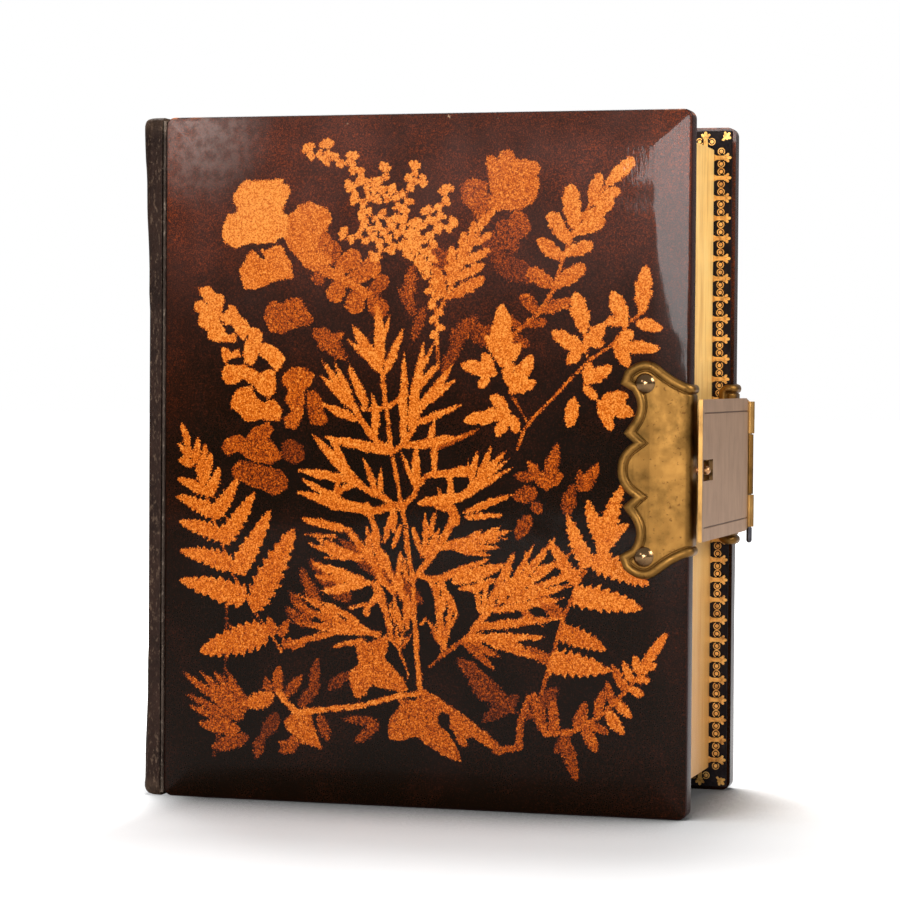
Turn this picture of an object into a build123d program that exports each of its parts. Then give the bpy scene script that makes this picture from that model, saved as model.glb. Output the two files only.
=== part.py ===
from build123d import *
import os

os.makedirs("parts", exist_ok=True)

# A small clasped album for mounted card portraits, standing on its tail edges.
# X runs from the spine to the fore-edge, Y from the front cover to the back cover, Z from tail to head.
# All sizes are in millimetres. The origin is the middle of the overall box, at the bottom.

# Wooden covers with bevelled margins
board_height = 155.0
board_width = 122.0
board_thickness = 5.5
board_corner_radius = 2.0
bevel_width = 8.0
bevel_drop = 1.0
panel_corner_radius = 0.8
board_edge_round = 0.5

# Leather turned in over the inner faces, and the paper pasted between
turn_in_width = 10.0
turn_in_thickness = 0.6
turn_in_margin = 0.8
pastedown_thickness = 0.3
pastedown_clearance = 0.2

# Thick leaves: a divider with a mat on each face, hung on a strip of linen
leaf_count = 14
core_thickness = 0.7
mat_thickness = 1.1
leaf_gap = 0.3
leaf_square = 5.0
leaf_corner_radius = 3.0
block_clearance = 0.4
linen_thickness = 0.3
linen_width = 9.7
linen_margin = 2.0
linen_clearance = 0.3
window_width = 56.0
window_height = 88.0
window_arch_rise = 11.0
window_corner_radius = 1.5

# Spine: leather shell, card stiffener, hollow, cloth lining and the guards that hold the linen
spine_depth = 4.6
spine_corner_radius = 3.2
spine_end_round = 2.4
leather_thickness = 1.0
leather_drop = 0.3
leather_cap = 1.2
front_joint_gap = 0.7
stiffener_thickness = 1.4
stiffener_clearance = 0.1
stiffener_end_gap = 3.2
spine_hollow = 0.5
lining_thickness = 0.5
lining_margin = 4.0
guard_reach = 7.0
headband_width = 2.4
headband_height = 2.2
headband_offset = 0.4

# Stamped clasp plates, one on each cover, each rolled over the fore-edge
clasp_z = 76.4
sheet_thickness = 0.7
rim_width = 2.2
rim_height = 0.45
edge_half_height = 18.7
flange_width = 3.3
flange_corner_radius = 2.4
outline_overrun = 10.0

# Half outline of the ornamental plate, as distances from the fore-edge and from its centre line
shoulder_reach = 6.5
shoulder_half_height = 22.6
shoulder_sag = 0.4
crown_reach = 10.2
crown_half_height = 23.8
ear_reach = 14.3
ear_half_height = 21.6
tip_reach = 15.3
tip_half_height = 18.7
neck_reach = 12.6
neck_half_height = 17.2
waist_reach = 11.5
waist_half_height = 13.8
flank_reach = 12.8
flank_half_height = 10.4
thorn_reach = 14.6
thorn_half_height = 8.0
notch_reach = 12.4
notch_half_height = 6.0
lobe_reach = 15.8

# Rivets that hold the plates
rivet_head_radius = 2.3
rivet_head_height = 1.2
rivet_shank_radius = 0.9
rivet_reach = 9.7
rivet_half_spacing = 18.9
rivet_clearance = 0.05

# Hasp that swings from the back plate over the fore-edge
hasp_thickness = 0.9
hasp_height = 31.0
hasp_overhang = 0.3
hasp_corner_cut = 4.0
hasp_corner_drop = 0.8
hasp_line_width = 0.35
hasp_line_depth = 0.15
hasp_line_inset = 3.0
hasp_line_margin = 2.0
slot_height = 4.6
slot_start = 0.8
slot_length = 11.0

# Barrel hinge of the hasp
knuckle_radius = 1.05
middle_knuckle_radius = 0.85
middle_knuckle_length = 14.0
knuckle_gap = 0.2
knuckle_relief = 0.3
barrel_standoff = 3.2
pin_radius = 0.45
pin_clearance = 0.05
pin_tail_radius = 0.66
pin_tail_length = 3.6

# Catch stud that the slot of the hasp drops over
stud_inset = 4.9
stud_ball_radius = 0.95
stud_ball_reach = 2.9
stud_neck_radius = 0.55
stud_collar_radius = 1.0
stud_collar_height = 0.3

# Places that follow from the sizes above
leaf_thickness = core_thickness + 2 * mat_thickness
leaf_pitch = leaf_thickness + leaf_gap
block_thickness = leaf_count * leaf_pitch - leaf_gap
cover_inner_y = block_thickness / 2 + block_clearance
board_inner_y = cover_inner_y + turn_in_thickness
board_outer_y = board_inner_y + board_thickness
overall_width = spine_depth + board_width + barrel_standoff + knuckle_radius
spine_x = -overall_width / 2
joint_x = spine_x + spine_depth
fore_edge_x = joint_x + board_width
board_center_x = (joint_x + fore_edge_x) / 2
leaf_bottom_z = leaf_square
leaf_height = board_height - 2 * leaf_square
mid_z = board_height / 2
guard_edge_x = joint_x + guard_reach
leaf_pivot_x = guard_edge_x + linen_clearance
card_start_x = leaf_pivot_x + linen_width
card_end_x = fore_edge_x - leaf_square
card_center_x = (card_start_x + card_end_x) / 2
stiffener_x = spine_x + leather_thickness + stiffener_clearance
lining_x = stiffener_x + stiffener_thickness + spine_hollow
guard_start_x = lining_x + lining_thickness
barrel_x = fore_edge_x + barrel_standoff
barrel_y = board_outer_y - bevel_drop + sheet_thickness - middle_knuckle_radius
hasp_inner_x = barrel_x - knuckle_radius
leaf_centers_y = [(index - (leaf_count - 1) / 2) * leaf_pitch for index in range(leaf_count)]
rivet_spots = [
    (fore_edge_x - rivet_reach, clasp_z + rivet_half_spacing),
    (fore_edge_x - rivet_reach, clasp_z - rivet_half_spacing),
]


# Covers: a flat back, square edges and a bevel that rises to the panel on the outer face
with BuildPart() as front_board:
    with BuildSketch(Plane.XZ.offset(board_inner_y)):
        with Locations((board_center_x, mid_z)):
            RectangleRounded(board_width, board_height, board_corner_radius)
    extrude(amount=board_thickness - bevel_drop)
    with BuildSketch(Plane.XZ.offset(board_outer_y - bevel_drop)):
        with Locations((board_center_x, mid_z)):
            RectangleRounded(board_width, board_height, board_corner_radius)
    with BuildSketch(Plane.XZ.offset(board_outer_y)):
        with Locations((board_center_x, mid_z)):
            RectangleRounded(
                board_width - 2 * bevel_width,
                board_height - 2 * bevel_width,
                panel_corner_radius,
            )
    loft(ruled=True)
    fillet(front_board.faces().sort_by(Axis.Y)[-1].edges(), radius=board_edge_round)
    with Locations(Plane.XZ.offset(board_outer_y)):
        with Locations(rivet_spots):
            Hole(radius=rivet_shank_radius + rivet_clearance)
front_board.part.label = "front_board"
export_step(front_board.part, "parts/front_board.step")

with BuildPart() as back_board:
    mirror(front_board.part, about=Plane.XZ)
back_board.part.label = "back_board"
export_step(back_board.part, "parts/back_board.step")

# Leather frame turned in over the inner face of each cover
with BuildPart() as front_turn_in:
    with BuildSketch(Plane.XZ.offset(cover_inner_y)):
        with Locations((board_center_x, mid_z)):
            Rectangle(board_width - 2 * turn_in_margin, board_height - 2 * turn_in_margin)
            Rectangle(
                board_width - 2 * (turn_in_margin + turn_in_width),
                board_height - 2 * (turn_in_margin + turn_in_width),
                mode=Mode.SUBTRACT,
            )
    extrude(amount=turn_in_thickness)
front_turn_in.part.label = "front_turn_in"
export_step(front_turn_in.part, "parts/front_turn_in.step")

with BuildPart() as back_turn_in:
    mirror(front_turn_in.part, about=Plane.XZ)
back_turn_in.part.label = "back_turn_in"
export_step(back_turn_in.part, "parts/back_turn_in.step")

# Pastedown paper inside the leather frame
pastedown_inset = turn_in_margin + turn_in_width + pastedown_clearance
with BuildPart() as front_pastedown:
    with BuildSketch(Plane.XZ.offset(board_inner_y - pastedown_thickness)):
        with Locations((board_center_x, mid_z)):
            Rectangle(board_width - 2 * pastedown_inset, board_height - 2 * pastedown_inset)
    extrude(amount=pastedown_thickness)
front_pastedown.part.label = "front_pastedown"
export_step(front_pastedown.part, "parts/front_pastedown.step")

with BuildPart() as back_pastedown:
    mirror(front_pastedown.part, about=Plane.XZ)
back_pastedown.part.label = "back_pastedown"
export_step(back_pastedown.part, "parts/back_pastedown.step")

# Spine leather: a closed shell round the hollow, capped at head and tail, with rounded ends
leather_outer_y = board_outer_y - leather_drop
leather_edge_x = joint_x - front_joint_gap
with BuildPart() as spine_leather:
    with BuildSketch(Plane.XY):
        with BuildLine():
            Polyline(
                (spine_x + spine_corner_radius, -leather_outer_y),
                (leather_edge_x, -leather_outer_y),
                (leather_edge_x, leather_outer_y),
                (spine_x + spine_corner_radius, leather_outer_y),
            )
            RadiusArc(
                (spine_x + spine_corner_radius, leather_outer_y),
                (spine_x, leather_outer_y - spine_corner_radius),
                -spine_corner_radius,
            )
            Line(
                (spine_x, leather_outer_y - spine_corner_radius),
                (spine_x, -leather_outer_y + spine_corner_radius),
            )
            RadiusArc(
                (spine_x, -leather_outer_y + spine_corner_radius),
                (spine_x + spine_corner_radius, -leather_outer_y),
                -spine_corner_radius,
            )
        make_face()
    extrude(amount=board_height)
    end_edges = spine_leather.edges().filter_by_position(Axis.X, spine_x, spine_x + spine_corner_radius)
    head_edges = end_edges.group_by(Axis.Z)[-1]
    tail_edges = end_edges.group_by(Axis.Z)[0]
    fillet(head_edges + tail_edges, radius=spine_end_round)
    with BuildSketch(Plane.XY.offset(leather_cap)):
        with Locations((spine_x + leather_thickness, 0)):
            Rectangle(
                spine_depth,
                2 * (leather_outer_y - leather_thickness),
                align=(Align.MIN, Align.CENTER),
            )
    extrude(amount=board_height - 2 * leather_cap, mode=Mode.SUBTRACT)
    with BuildSketch(Plane.XY.offset(leather_cap)):
        with Locations((joint_x, leather_outer_y)):
            Rectangle(
                front_joint_gap + leather_thickness,
                leather_thickness,
                align=(Align.MAX, Align.MAX),
            )
    extrude(amount=board_height - 2 * leather_cap)
spine_leather.part.label = "spine_leather"
export_step(spine_leather.part, "parts/spine_leather.step")

# Card strip that stiffens the back of the spine, inside the leather
stiffener_half_width = leather_outer_y - leather_thickness - stiffener_end_gap
with BuildPart() as spine_stiffener:
    with BuildSketch(Plane.XY.offset(leather_cap + stiffener_clearance)):
        with Locations((stiffener_x, 0)):
            Rectangle(
                stiffener_thickness,
                2 * stiffener_half_width,
                align=(Align.MIN, Align.CENTER),
            )
    extrude(amount=board_height - 2 * (leather_cap + stiffener_clearance))
spine_stiffener.part.label = "spine_stiffener"
export_step(spine_stiffener.part, "parts/spine_stiffener.step")

# Cloth glued over the backs of the guards
with BuildPart() as spine_lining:
    with BuildSketch(Plane.XY.offset(leaf_bottom_z + lining_margin)):
        with Locations((lining_x, 0)):
            Rectangle(lining_thickness, block_thickness, align=(Align.MIN, Align.CENTER))
    extrude(amount=leaf_height - 2 * lining_margin)
spine_lining.part.label = "spine_lining"
export_step(spine_lining.part, "parts/spine_lining.step")

# Guards: one stub of card behind each leaf
with BuildPart() as leaf_guards:
    with BuildSketch(Plane.XY.offset(leaf_bottom_z)):
        with Locations([(guard_start_x, center_y) for center_y in leaf_centers_y]):
            Rectangle(
                guard_edge_x - guard_start_x,
                leaf_thickness,
                align=(Align.MIN, Align.CENTER),
            )
    extrude(amount=leaf_height)
leaf_guards.part.label = "leaf_guards"
export_step(leaf_guards.part, "parts/leaf_guards.step")


# A sewn band over the ends of the guards, flat below and round above
def headband(base_plane):
    with BuildPart() as band:
        with BuildSketch(base_plane):
            with BuildLine():
                Polyline(
                    (0, headband_height / 2),
                    (0, 0),
                    (headband_width, 0),
                    (headband_width, headband_height / 2),
                )
                ThreePointArc(
                    (headband_width, headband_height / 2),
                    (headband_width / 2, headband_height),
                    (0, headband_height / 2),
                )
            make_face()
        extrude(amount=block_thickness / 2, both=True)
    return band.part


headband_x = guard_start_x + headband_offset
with BuildPart() as headband_head:
    add(headband(Plane((headband_x, 0, leaf_bottom_z + leaf_height), x_dir=(1, 0, 0), z_dir=(0, -1, 0))))
headband_head.part.label = "headband_head"
export_step(headband_head.part, "parts/headband_head.step")

with BuildPart() as headband_tail:
    add(headband(Plane((headband_x, 0, leaf_bottom_z), x_dir=(1, 0, 0), z_dir=(0, 1, 0))))
headband_tail.part.label = "headband_tail"
export_step(headband_tail.part, "parts/headband_tail.step")


# One leaf: the divider with its linen strip is the core, and each face carries a windowed mat
def leaf_face(width, x_min):
    with BuildSketch(Plane.XZ) as face:
        with Locations((x_min, leaf_bottom_z)):
            Rectangle(width, leaf_height, align=(Align.MIN, Align.MIN))
        fillet(face.vertices().group_by(Axis.X)[-1], radius=leaf_corner_radius)
    return face.sketch


def window_face():
    left = card_center_x - window_width / 2
    right = card_center_x + window_width / 2
    sill = mid_z - window_height / 2
    spring = mid_z + window_height / 2 - window_arch_rise
    with BuildSketch(Plane.XZ) as face:
        with BuildLine():
            Polyline((left, spring), (left, sill), (right, sill), (right, spring))
            ThreePointArc((right, spring), (card_center_x, spring + window_arch_rise), (left, spring))
        make_face()
        fillet(face.vertices(), radius=window_corner_radius)
    return face.sketch


card_face = leaf_face(card_end_x - card_start_x, card_start_x)
mat_window = window_face()
for index, center_y in enumerate(leaf_centers_y, start=1):
    leaf_name = f"leaf_{index:02d}"
    with BuildPart() as leaf_core:
        with BuildSketch(Plane.XZ.offset(-center_y)):
            add(card_face)
        extrude(amount=core_thickness / 2, both=True)
        with BuildSketch(Plane.XZ.offset(-center_y)):
            with Locations((leaf_pivot_x, leaf_bottom_z + linen_margin)):
                Rectangle(linen_width, leaf_height - 2 * linen_margin, align=(Align.MIN, Align.MIN))
        extrude(amount=linen_thickness / 2, both=True)
    leaf_core.part.label = leaf_name + "_core"
    export_step(leaf_core.part, f"parts/{leaf_name}_core.step")

    with BuildPart() as leaf_mats:
        for side in (-1, 1):
            with BuildSketch(Plane.XZ.offset(-center_y + side * core_thickness / 2)):
                add(card_face)
                add(mat_window, mode=Mode.SUBTRACT)
            extrude(amount=side * mat_thickness)
    leaf_mats.part.label = leaf_name + "_mats"
    export_step(leaf_mats.part, f"parts/{leaf_name}_mats.step")


# Clasp plate outline in the X-Z plane: ornamental on the left, running on past the fore-edge
def plate_outline():
    def spot(reach, half_height):
        return (fore_edge_x - reach, clasp_z + half_height)

    with BuildSketch(Plane.XZ) as outline:
        with BuildLine():
            for side in (1, -1):
                Line(spot(-outline_overrun, side * edge_half_height), spot(0, side * edge_half_height))
                shoulder_middle = (edge_half_height + shoulder_half_height) / 2 - shoulder_sag
                ThreePointArc(
                    spot(0, side * edge_half_height),
                    spot(shoulder_reach / 2, side * shoulder_middle),
                    spot(shoulder_reach, side * shoulder_half_height),
                )
                ThreePointArc(
                    spot(shoulder_reach, side * shoulder_half_height),
                    spot(crown_reach, side * crown_half_height),
                    spot(ear_reach, side * ear_half_height),
                )
                Polyline(
                    spot(ear_reach, side * ear_half_height),
                    spot(tip_reach, side * tip_half_height),
                    spot(neck_reach, side * neck_half_height),
                )
                ThreePointArc(
                    spot(neck_reach, side * neck_half_height),
                    spot(waist_reach, side * waist_half_height),
                    spot(flank_reach, side * flank_half_height),
                )
                Polyline(
                    spot(flank_reach, side * flank_half_height),
                    spot(thorn_reach, side * thorn_half_height),
                    spot(notch_reach, side * notch_half_height),
                )
            ThreePointArc(
                spot(notch_reach, notch_half_height),
                spot(lobe_reach, 0),
                spot(notch_reach, -notch_half_height),
            )
            Line(
                spot(-outline_overrun, edge_half_height),
                spot(-outline_overrun, -edge_half_height),
            )
        make_face()
    return outline.sketch


# Sheet that follows the panel, the bevel and the fore-edge, between two distances from the board
def plate_section(inside, outside):
    left_x = fore_edge_x - lobe_reach - rim_width
    bevel_x = fore_edge_x - bevel_width
    edge_y = -board_outer_y + bevel_drop
    end_y = -cover_inner_y + sheet_thickness
    with BuildSketch(Plane.XY) as section:
        with BuildLine():
            Polyline(
                (left_x, -board_outer_y - inside),
                (bevel_x, -board_outer_y - inside),
                (fore_edge_x + inside, edge_y - inside),
                (fore_edge_x + inside, end_y),
                (fore_edge_x + outside, end_y),
                (fore_edge_x + outside, edge_y - outside),
                (bevel_x, -board_outer_y - outside),
                (left_x, -board_outer_y - outside),
                close=True,
            )
        make_face()
        for distance in (inside, outside):
            if distance > 0:
                corner = section.vertices().sort_by_distance((fore_edge_x + distance, edge_y - distance))[0]
                fillet(corner, radius=distance)
    return section.sketch


outline_face = plate_outline()
plate_blank_half = crown_half_height + rim_width
plate_blank_depth = 2 * board_outer_y
with BuildPart() as plate_sheet:
    with BuildSketch(Plane.XY.offset(clasp_z)):
        add(plate_section(0, sheet_thickness))
    extrude(amount=plate_blank_half, both=True)
    with BuildSketch(Plane.XZ):
        add(outline_face)
    extrude(amount=plate_blank_depth, mode=Mode.INTERSECT)

with BuildPart() as plate_rim:
    with BuildSketch(Plane.XY.offset(clasp_z)):
        add(plate_section(sheet_thickness, sheet_thickness + rim_height))
    extrude(amount=plate_blank_half, both=True)
    with BuildSketch(Plane.XZ):
        add(outline_face)
        offset(outline_face, amount=-rim_width, kind=Kind.INTERSECTION, mode=Mode.SUBTRACT)
    extrude(amount=plate_blank_depth, mode=Mode.INTERSECT)

# Front plate: the sheet, its raised rim, the flange behind the cover and a seat for each rivet
with BuildPart() as clasp_front_plate:
    add(plate_sheet.part)
    add(plate_rim.part)
    with BuildSketch(Plane.XZ.offset(cover_inner_y)) as flange:
        with Locations((fore_edge_x + sheet_thickness, clasp_z)):
            Rectangle(
                flange_width + sheet_thickness,
                2 * edge_half_height,
                align=(Align.MAX, Align.CENTER),
            )
        fillet(flange.vertices().group_by(Axis.X)[0], radius=flange_corner_radius)
    extrude(amount=-sheet_thickness)
    with Locations(Plane.XZ.offset(board_outer_y + sheet_thickness + rim_height)):
        with Locations(rivet_spots):
            CounterBoreHole(
                radius=rivet_shank_radius + rivet_clearance,
                counter_bore_radius=rivet_head_radius + rivet_clearance,
                counter_bore_depth=rim_height,
            )
clasp_front_plate.part.label = "clasp_front_plate"
export_step(clasp_front_plate.part, "parts/clasp_front_plate.step")

# Back plate: the same stamping mirrored, with a strap that rolls into the middle knuckle
strap_y = board_outer_y - bevel_drop
with BuildPart() as clasp_back_plate:
    mirror(clasp_front_plate.part, about=Plane.XZ)
    with BuildSketch(Plane.XY.offset(clasp_z)):
        with Locations((fore_edge_x, strap_y)):
            Rectangle(barrel_standoff, sheet_thickness, align=(Align.MIN, Align.MIN))
        with Locations((barrel_x, barrel_y)):
            Circle(middle_knuckle_radius)
            Circle(pin_radius + pin_clearance, mode=Mode.SUBTRACT)
    extrude(amount=middle_knuckle_length / 2, both=True)
clasp_back_plate.part.label = "clasp_back_plate"
export_step(clasp_back_plate.part, "parts/clasp_back_plate.step")

# Domed rivets through the plate and the cover
rivet_seat_y = -board_outer_y - sheet_thickness
dome_radius = (rivet_head_radius**2 + rivet_head_height**2) / (2 * rivet_head_height)
with BuildPart() as clasp_front_rivets:
    for rivet_x, rivet_z in rivet_spots:
        with BuildSketch(Plane.XY.offset(rivet_z)):
            with BuildLine():
                Polyline(
                    (rivet_x, rivet_seat_y - rivet_head_height),
                    (rivet_x, -board_inner_y),
                    (rivet_x + rivet_shank_radius, -board_inner_y),
                    (rivet_x + rivet_shank_radius, rivet_seat_y),
                    (rivet_x + rivet_head_radius, rivet_seat_y),
                )
                RadiusArc(
                    (rivet_x + rivet_head_radius, rivet_seat_y),
                    (rivet_x, rivet_seat_y - rivet_head_height),
                    dome_radius,
                )
            make_face()
        revolve(axis=Axis((rivet_x, 0, rivet_z), (0, 1, 0)))
clasp_front_rivets.part.label = "clasp_front_rivets"
export_step(clasp_front_rivets.part, "parts/clasp_front_rivets.step")

with BuildPart() as clasp_back_rivets:
    mirror(clasp_front_rivets.part, about=Plane.XZ)
clasp_back_rivets.part.label = "clasp_back_rivets"
export_step(clasp_back_rivets.part, "parts/clasp_back_rivets.step")

# Catch stud on the rolled edge of the front plate: collar, neck and ball
stud_y = -board_outer_y + stud_inset
stud_base_x = fore_edge_x + sheet_thickness
ball_x = fore_edge_x + stud_ball_reach
neck_end_x = ball_x - (stud_ball_radius**2 - stud_neck_radius**2) ** 0.5
with BuildPart() as catch_stud:
    with BuildSketch(Plane.XY.offset(clasp_z)):
        with BuildLine():
            Polyline(
                (ball_x + stud_ball_radius, stud_y),
                (stud_base_x, stud_y),
                (stud_base_x, stud_y + stud_collar_radius),
                (stud_base_x + stud_collar_height, stud_y + stud_collar_radius),
                (stud_base_x + stud_collar_height, stud_y + stud_neck_radius),
                (neck_end_x, stud_y + stud_neck_radius),
            )
            ThreePointArc(
                (neck_end_x, stud_y + stud_neck_radius),
                (ball_x, stud_y + stud_ball_radius),
                (ball_x + stud_ball_radius, stud_y),
            )
        make_face()
    revolve(axis=Axis((0, stud_y, clasp_z), (1, 0, 0)))
catch_stud.part.label = "catch_stud"
export_step(catch_stud.part, "parts/catch_stud.step")

# Hasp: a flat plate along the fore-edge, slotted for the stud, with a knuckle at each end of its hinge
hasp_start_y = -board_outer_y - hasp_overhang
barrel_half_length = hasp_height / 2 - hasp_corner_drop
middle_half_length = middle_knuckle_length / 2
end_knuckle_start = middle_half_length + knuckle_gap
with BuildPart() as hasp_plate:
    with BuildSketch(Plane.YZ.offset(hasp_inner_x)):
        with BuildLine():
            Polyline(
                (hasp_start_y, clasp_z - hasp_height / 2),
                (barrel_y - hasp_corner_cut, clasp_z - hasp_height / 2),
                (barrel_y, clasp_z - barrel_half_length),
                (barrel_y, clasp_z + barrel_half_length),
                (barrel_y - hasp_corner_cut, clasp_z + hasp_height / 2),
                (hasp_start_y, clasp_z + hasp_height / 2),
                close=True,
            )
        make_face()
        with Locations((-board_outer_y + slot_start, clasp_z)):
            Rectangle(
                slot_length,
                slot_height,
                align=(Align.MIN, Align.CENTER),
                mode=Mode.SUBTRACT,
            )
        with Locations((barrel_y, clasp_z)):
            Rectangle(
                2 * (middle_knuckle_radius + knuckle_relief),
                2 * end_knuckle_start,
                mode=Mode.SUBTRACT,
            )
    extrude(amount=hasp_thickness)
    with BuildSketch(Plane.YZ.offset(hasp_inner_x + hasp_thickness)):
        for side in (-1, 1):
            line_z = clasp_z + side * (hasp_height / 2 - hasp_line_inset)
            with Locations((hasp_start_y + hasp_line_margin, line_z)):
                Rectangle(
                    barrel_y - hasp_start_y - 2 * hasp_line_margin,
                    hasp_line_width,
                    align=(Align.MIN, Align.CENTER),
                )
    extrude(amount=-hasp_line_depth, mode=Mode.SUBTRACT)
    for side in (-1, 1):
        with BuildSketch(Plane.XY.offset(clasp_z + side * end_knuckle_start)):
            with Locations((barrel_x, barrel_y)):
                Circle(knuckle_radius)
        extrude(amount=side * (barrel_half_length - end_knuckle_start))
    with BuildSketch(Plane.XY.offset(clasp_z)):
        with Locations((barrel_x, barrel_y)):
            Circle(pin_radius + pin_clearance)
    extrude(amount=hasp_height, both=True, mode=Mode.SUBTRACT)
hasp_plate.part.label = "hasp_plate"
export_step(hasp_plate.part, "parts/hasp_plate.step")

# Hinge pin: a slim shaft through the knuckles, with a thicker round-ended tail below them
tail_top_z = clasp_z - barrel_half_length - knuckle_gap
with BuildPart() as hinge_pin:
    with BuildSketch(Plane.XZ.offset(-barrel_y)):
        with BuildLine():
            Polyline(
                (barrel_x, tail_top_z - pin_tail_length),
                (barrel_x, clasp_z + barrel_half_length),
                (barrel_x + pin_radius, clasp_z + barrel_half_length),
                (barrel_x + pin_radius, tail_top_z),
                (barrel_x + pin_tail_radius, tail_top_z),
                (barrel_x + pin_tail_radius, tail_top_z - pin_tail_length + pin_tail_radius),
            )
            RadiusArc(
                (barrel_x + pin_tail_radius, tail_top_z - pin_tail_length + pin_tail_radius),
                (barrel_x, tail_top_z - pin_tail_length),
                pin_tail_radius,
            )
        make_face()
    revolve(axis=Axis((barrel_x, barrel_y, 0), (0, 0, 1)))
hinge_pin.part.label = "hinge_pin"
export_step(hinge_pin.part, "parts/hinge_pin.step")
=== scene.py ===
from math import cos, hypot, pi, radians, sin

import bmesh
import bpy
import numpy as np
from mathutils import Matrix, Vector


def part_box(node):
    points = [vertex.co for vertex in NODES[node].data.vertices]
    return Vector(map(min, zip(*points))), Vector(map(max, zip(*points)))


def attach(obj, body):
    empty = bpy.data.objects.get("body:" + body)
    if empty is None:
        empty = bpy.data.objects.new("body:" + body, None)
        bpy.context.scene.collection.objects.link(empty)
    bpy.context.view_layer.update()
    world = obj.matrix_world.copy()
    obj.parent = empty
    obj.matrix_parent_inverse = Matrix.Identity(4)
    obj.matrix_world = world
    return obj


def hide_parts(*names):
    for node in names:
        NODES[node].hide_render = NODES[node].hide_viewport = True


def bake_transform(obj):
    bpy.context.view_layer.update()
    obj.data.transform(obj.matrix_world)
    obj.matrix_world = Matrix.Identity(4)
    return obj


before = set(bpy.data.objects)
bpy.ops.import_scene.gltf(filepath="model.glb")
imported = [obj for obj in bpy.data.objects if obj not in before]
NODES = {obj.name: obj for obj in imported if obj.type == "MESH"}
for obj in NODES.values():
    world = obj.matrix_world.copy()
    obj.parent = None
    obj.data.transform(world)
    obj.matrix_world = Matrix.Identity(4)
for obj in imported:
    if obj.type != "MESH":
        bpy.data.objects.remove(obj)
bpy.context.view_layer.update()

MM = 0.001

# Sizes of the album in millimetres, as in the solid model
BOARD_LOW, BOARD_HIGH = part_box("front_board")
JOINT_X = BOARD_LOW.x / MM
FORE_EDGE_X = BOARD_HIGH.x / MM
BOARD_OUTER_Y = -BOARD_LOW.y / MM
BOARD_INNER_Y = -BOARD_HIGH.y / MM
COVER_WIDTH = FORE_EDGE_X - JOINT_X
COVER_HEIGHT = (BOARD_HIGH.z - BOARD_LOW.z) / MM
MID_Z = COVER_HEIGHT / 2
BEVEL_WIDTH = 8.0
BEVEL_DROP = 1.0
CORNER_RADIUS = 2.0
EDGE_ROUND = 0.5
CLASP_Z = 76.4
SHEET = 0.7


def lerp(a, b, t):
    return a + (b - a) * t


def mesh_object(name, bm, material, smooth_angle=40.0):
    """A finished mesh in millimetres becomes an object at the origin, in metres."""
    bmesh.ops.scale(bm, vec=(MM, MM, MM), verts=bm.verts)
    for face in bm.faces:
        face.smooth = True
    mesh = bpy.data.meshes.new(name)
    bm.to_mesh(mesh)
    bm.free()
    mesh.set_sharp_from_angle(angle=radians(smooth_angle))
    mesh.materials.append(material)
    piece = bpy.data.objects.new(name, mesh)
    bpy.context.scene.collection.objects.link(piece)
    return piece


# ---- node helpers ----
def new_finish(name):
    material = bpy.data.materials.new(name)
    material.use_nodes = True
    material.node_tree.nodes.clear()
    return material, material.node_tree


def put(tree, kind, values=None, **settings):
    """One node, with its settings, and its sockets set to numbers or joined to other sockets."""
    node = tree.nodes.new(kind)
    for key, value in settings.items():
        setattr(node, key, value)
    for key, value in (values or {}).items():
        if isinstance(value, bpy.types.NodeSocket):
            tree.links.new(value, node.inputs[key])
        else:
            node.inputs[key].default_value = value
    return node


def place(tree, stretch=(1, 1, 1), turn=(0, 0, 0)):
    at = put(tree, "ShaderNodeTexCoord").outputs["Object"]
    return put(tree, "ShaderNodeMapping", {"Vector": at, "Scale": stretch, "Rotation": turn}).outputs["Vector"]


def noise(tree, at, scale, detail=3.0, rough=0.55):
    values = {"Vector": at, "Scale": scale, "Detail": detail, "Roughness": rough}
    return put(tree, "ShaderNodeTexNoise", values).outputs["Fac"]


def sums(tree, operation, a, b, clamp=False):
    node = put(tree, "ShaderNodeMath", operation=operation, use_clamp=clamp)
    for socket, value in zip(node.inputs, (a, b)):
        if isinstance(value, bpy.types.NodeSocket):
            tree.links.new(value, socket)
        else:
            socket.default_value = value
    return node.outputs[0]


def spread(tree, value, low, high, to_low=0.0, to_high=1.0):
    values = {"Value": value, "From Min": low, "From Max": high, "To Min": to_low, "To Max": to_high}
    return put(tree, "ShaderNodeMapRange", values, interpolation_type="SMOOTHSTEP").outputs["Result"]


def colour(red, green, blue):
    """A colour given as it looks on the screen, from 0 to 255, turned to linear light."""
    def linear(c):
        c = c / 255
        return c / 12.92 if c <= 0.04045 else ((c + 0.055) / 1.055) ** 2.4
    return (linear(red), linear(green), linear(blue), 1.0)


def ramp(tree, factor, stops):
    node = put(tree, "ShaderNodeValToRGB", {"Fac": factor})
    marks = node.color_ramp.elements
    marks[0].position, marks[0].color = stops[0]
    marks[1].position, marks[1].color = stops[-1]
    for position, shade in stops[1:-1]:
        marks.new(position).color = shade
    return node.outputs["Color"]


def mixed(tree, factor, a, b, kind="MIX"):
    node = put(tree, "ShaderNodeMix", data_type="RGBA", blend_type=kind)
    for socket, value in ((node.inputs[0], factor), (node.inputs[6], a), (node.inputs[7], b)):
        if isinstance(value, bpy.types.NodeSocket):
            tree.links.new(value, socket)
        else:
            socket.default_value = value
    return node.outputs[2]


def bumped(tree, height, strength, distance, under=None):
    values = {"Height": height, "Strength": strength, "Distance": distance}
    if under is not None:
        values["Normal"] = under
    return put(tree, "ShaderNodeBump", values).outputs["Normal"]


def surface(tree, values):
    shader = put(tree, "ShaderNodeBsdfPrincipled", values)
    out = put(tree, "ShaderNodeOutputMaterial", {"Surface": shader.outputs[0]})
    return out


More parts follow.
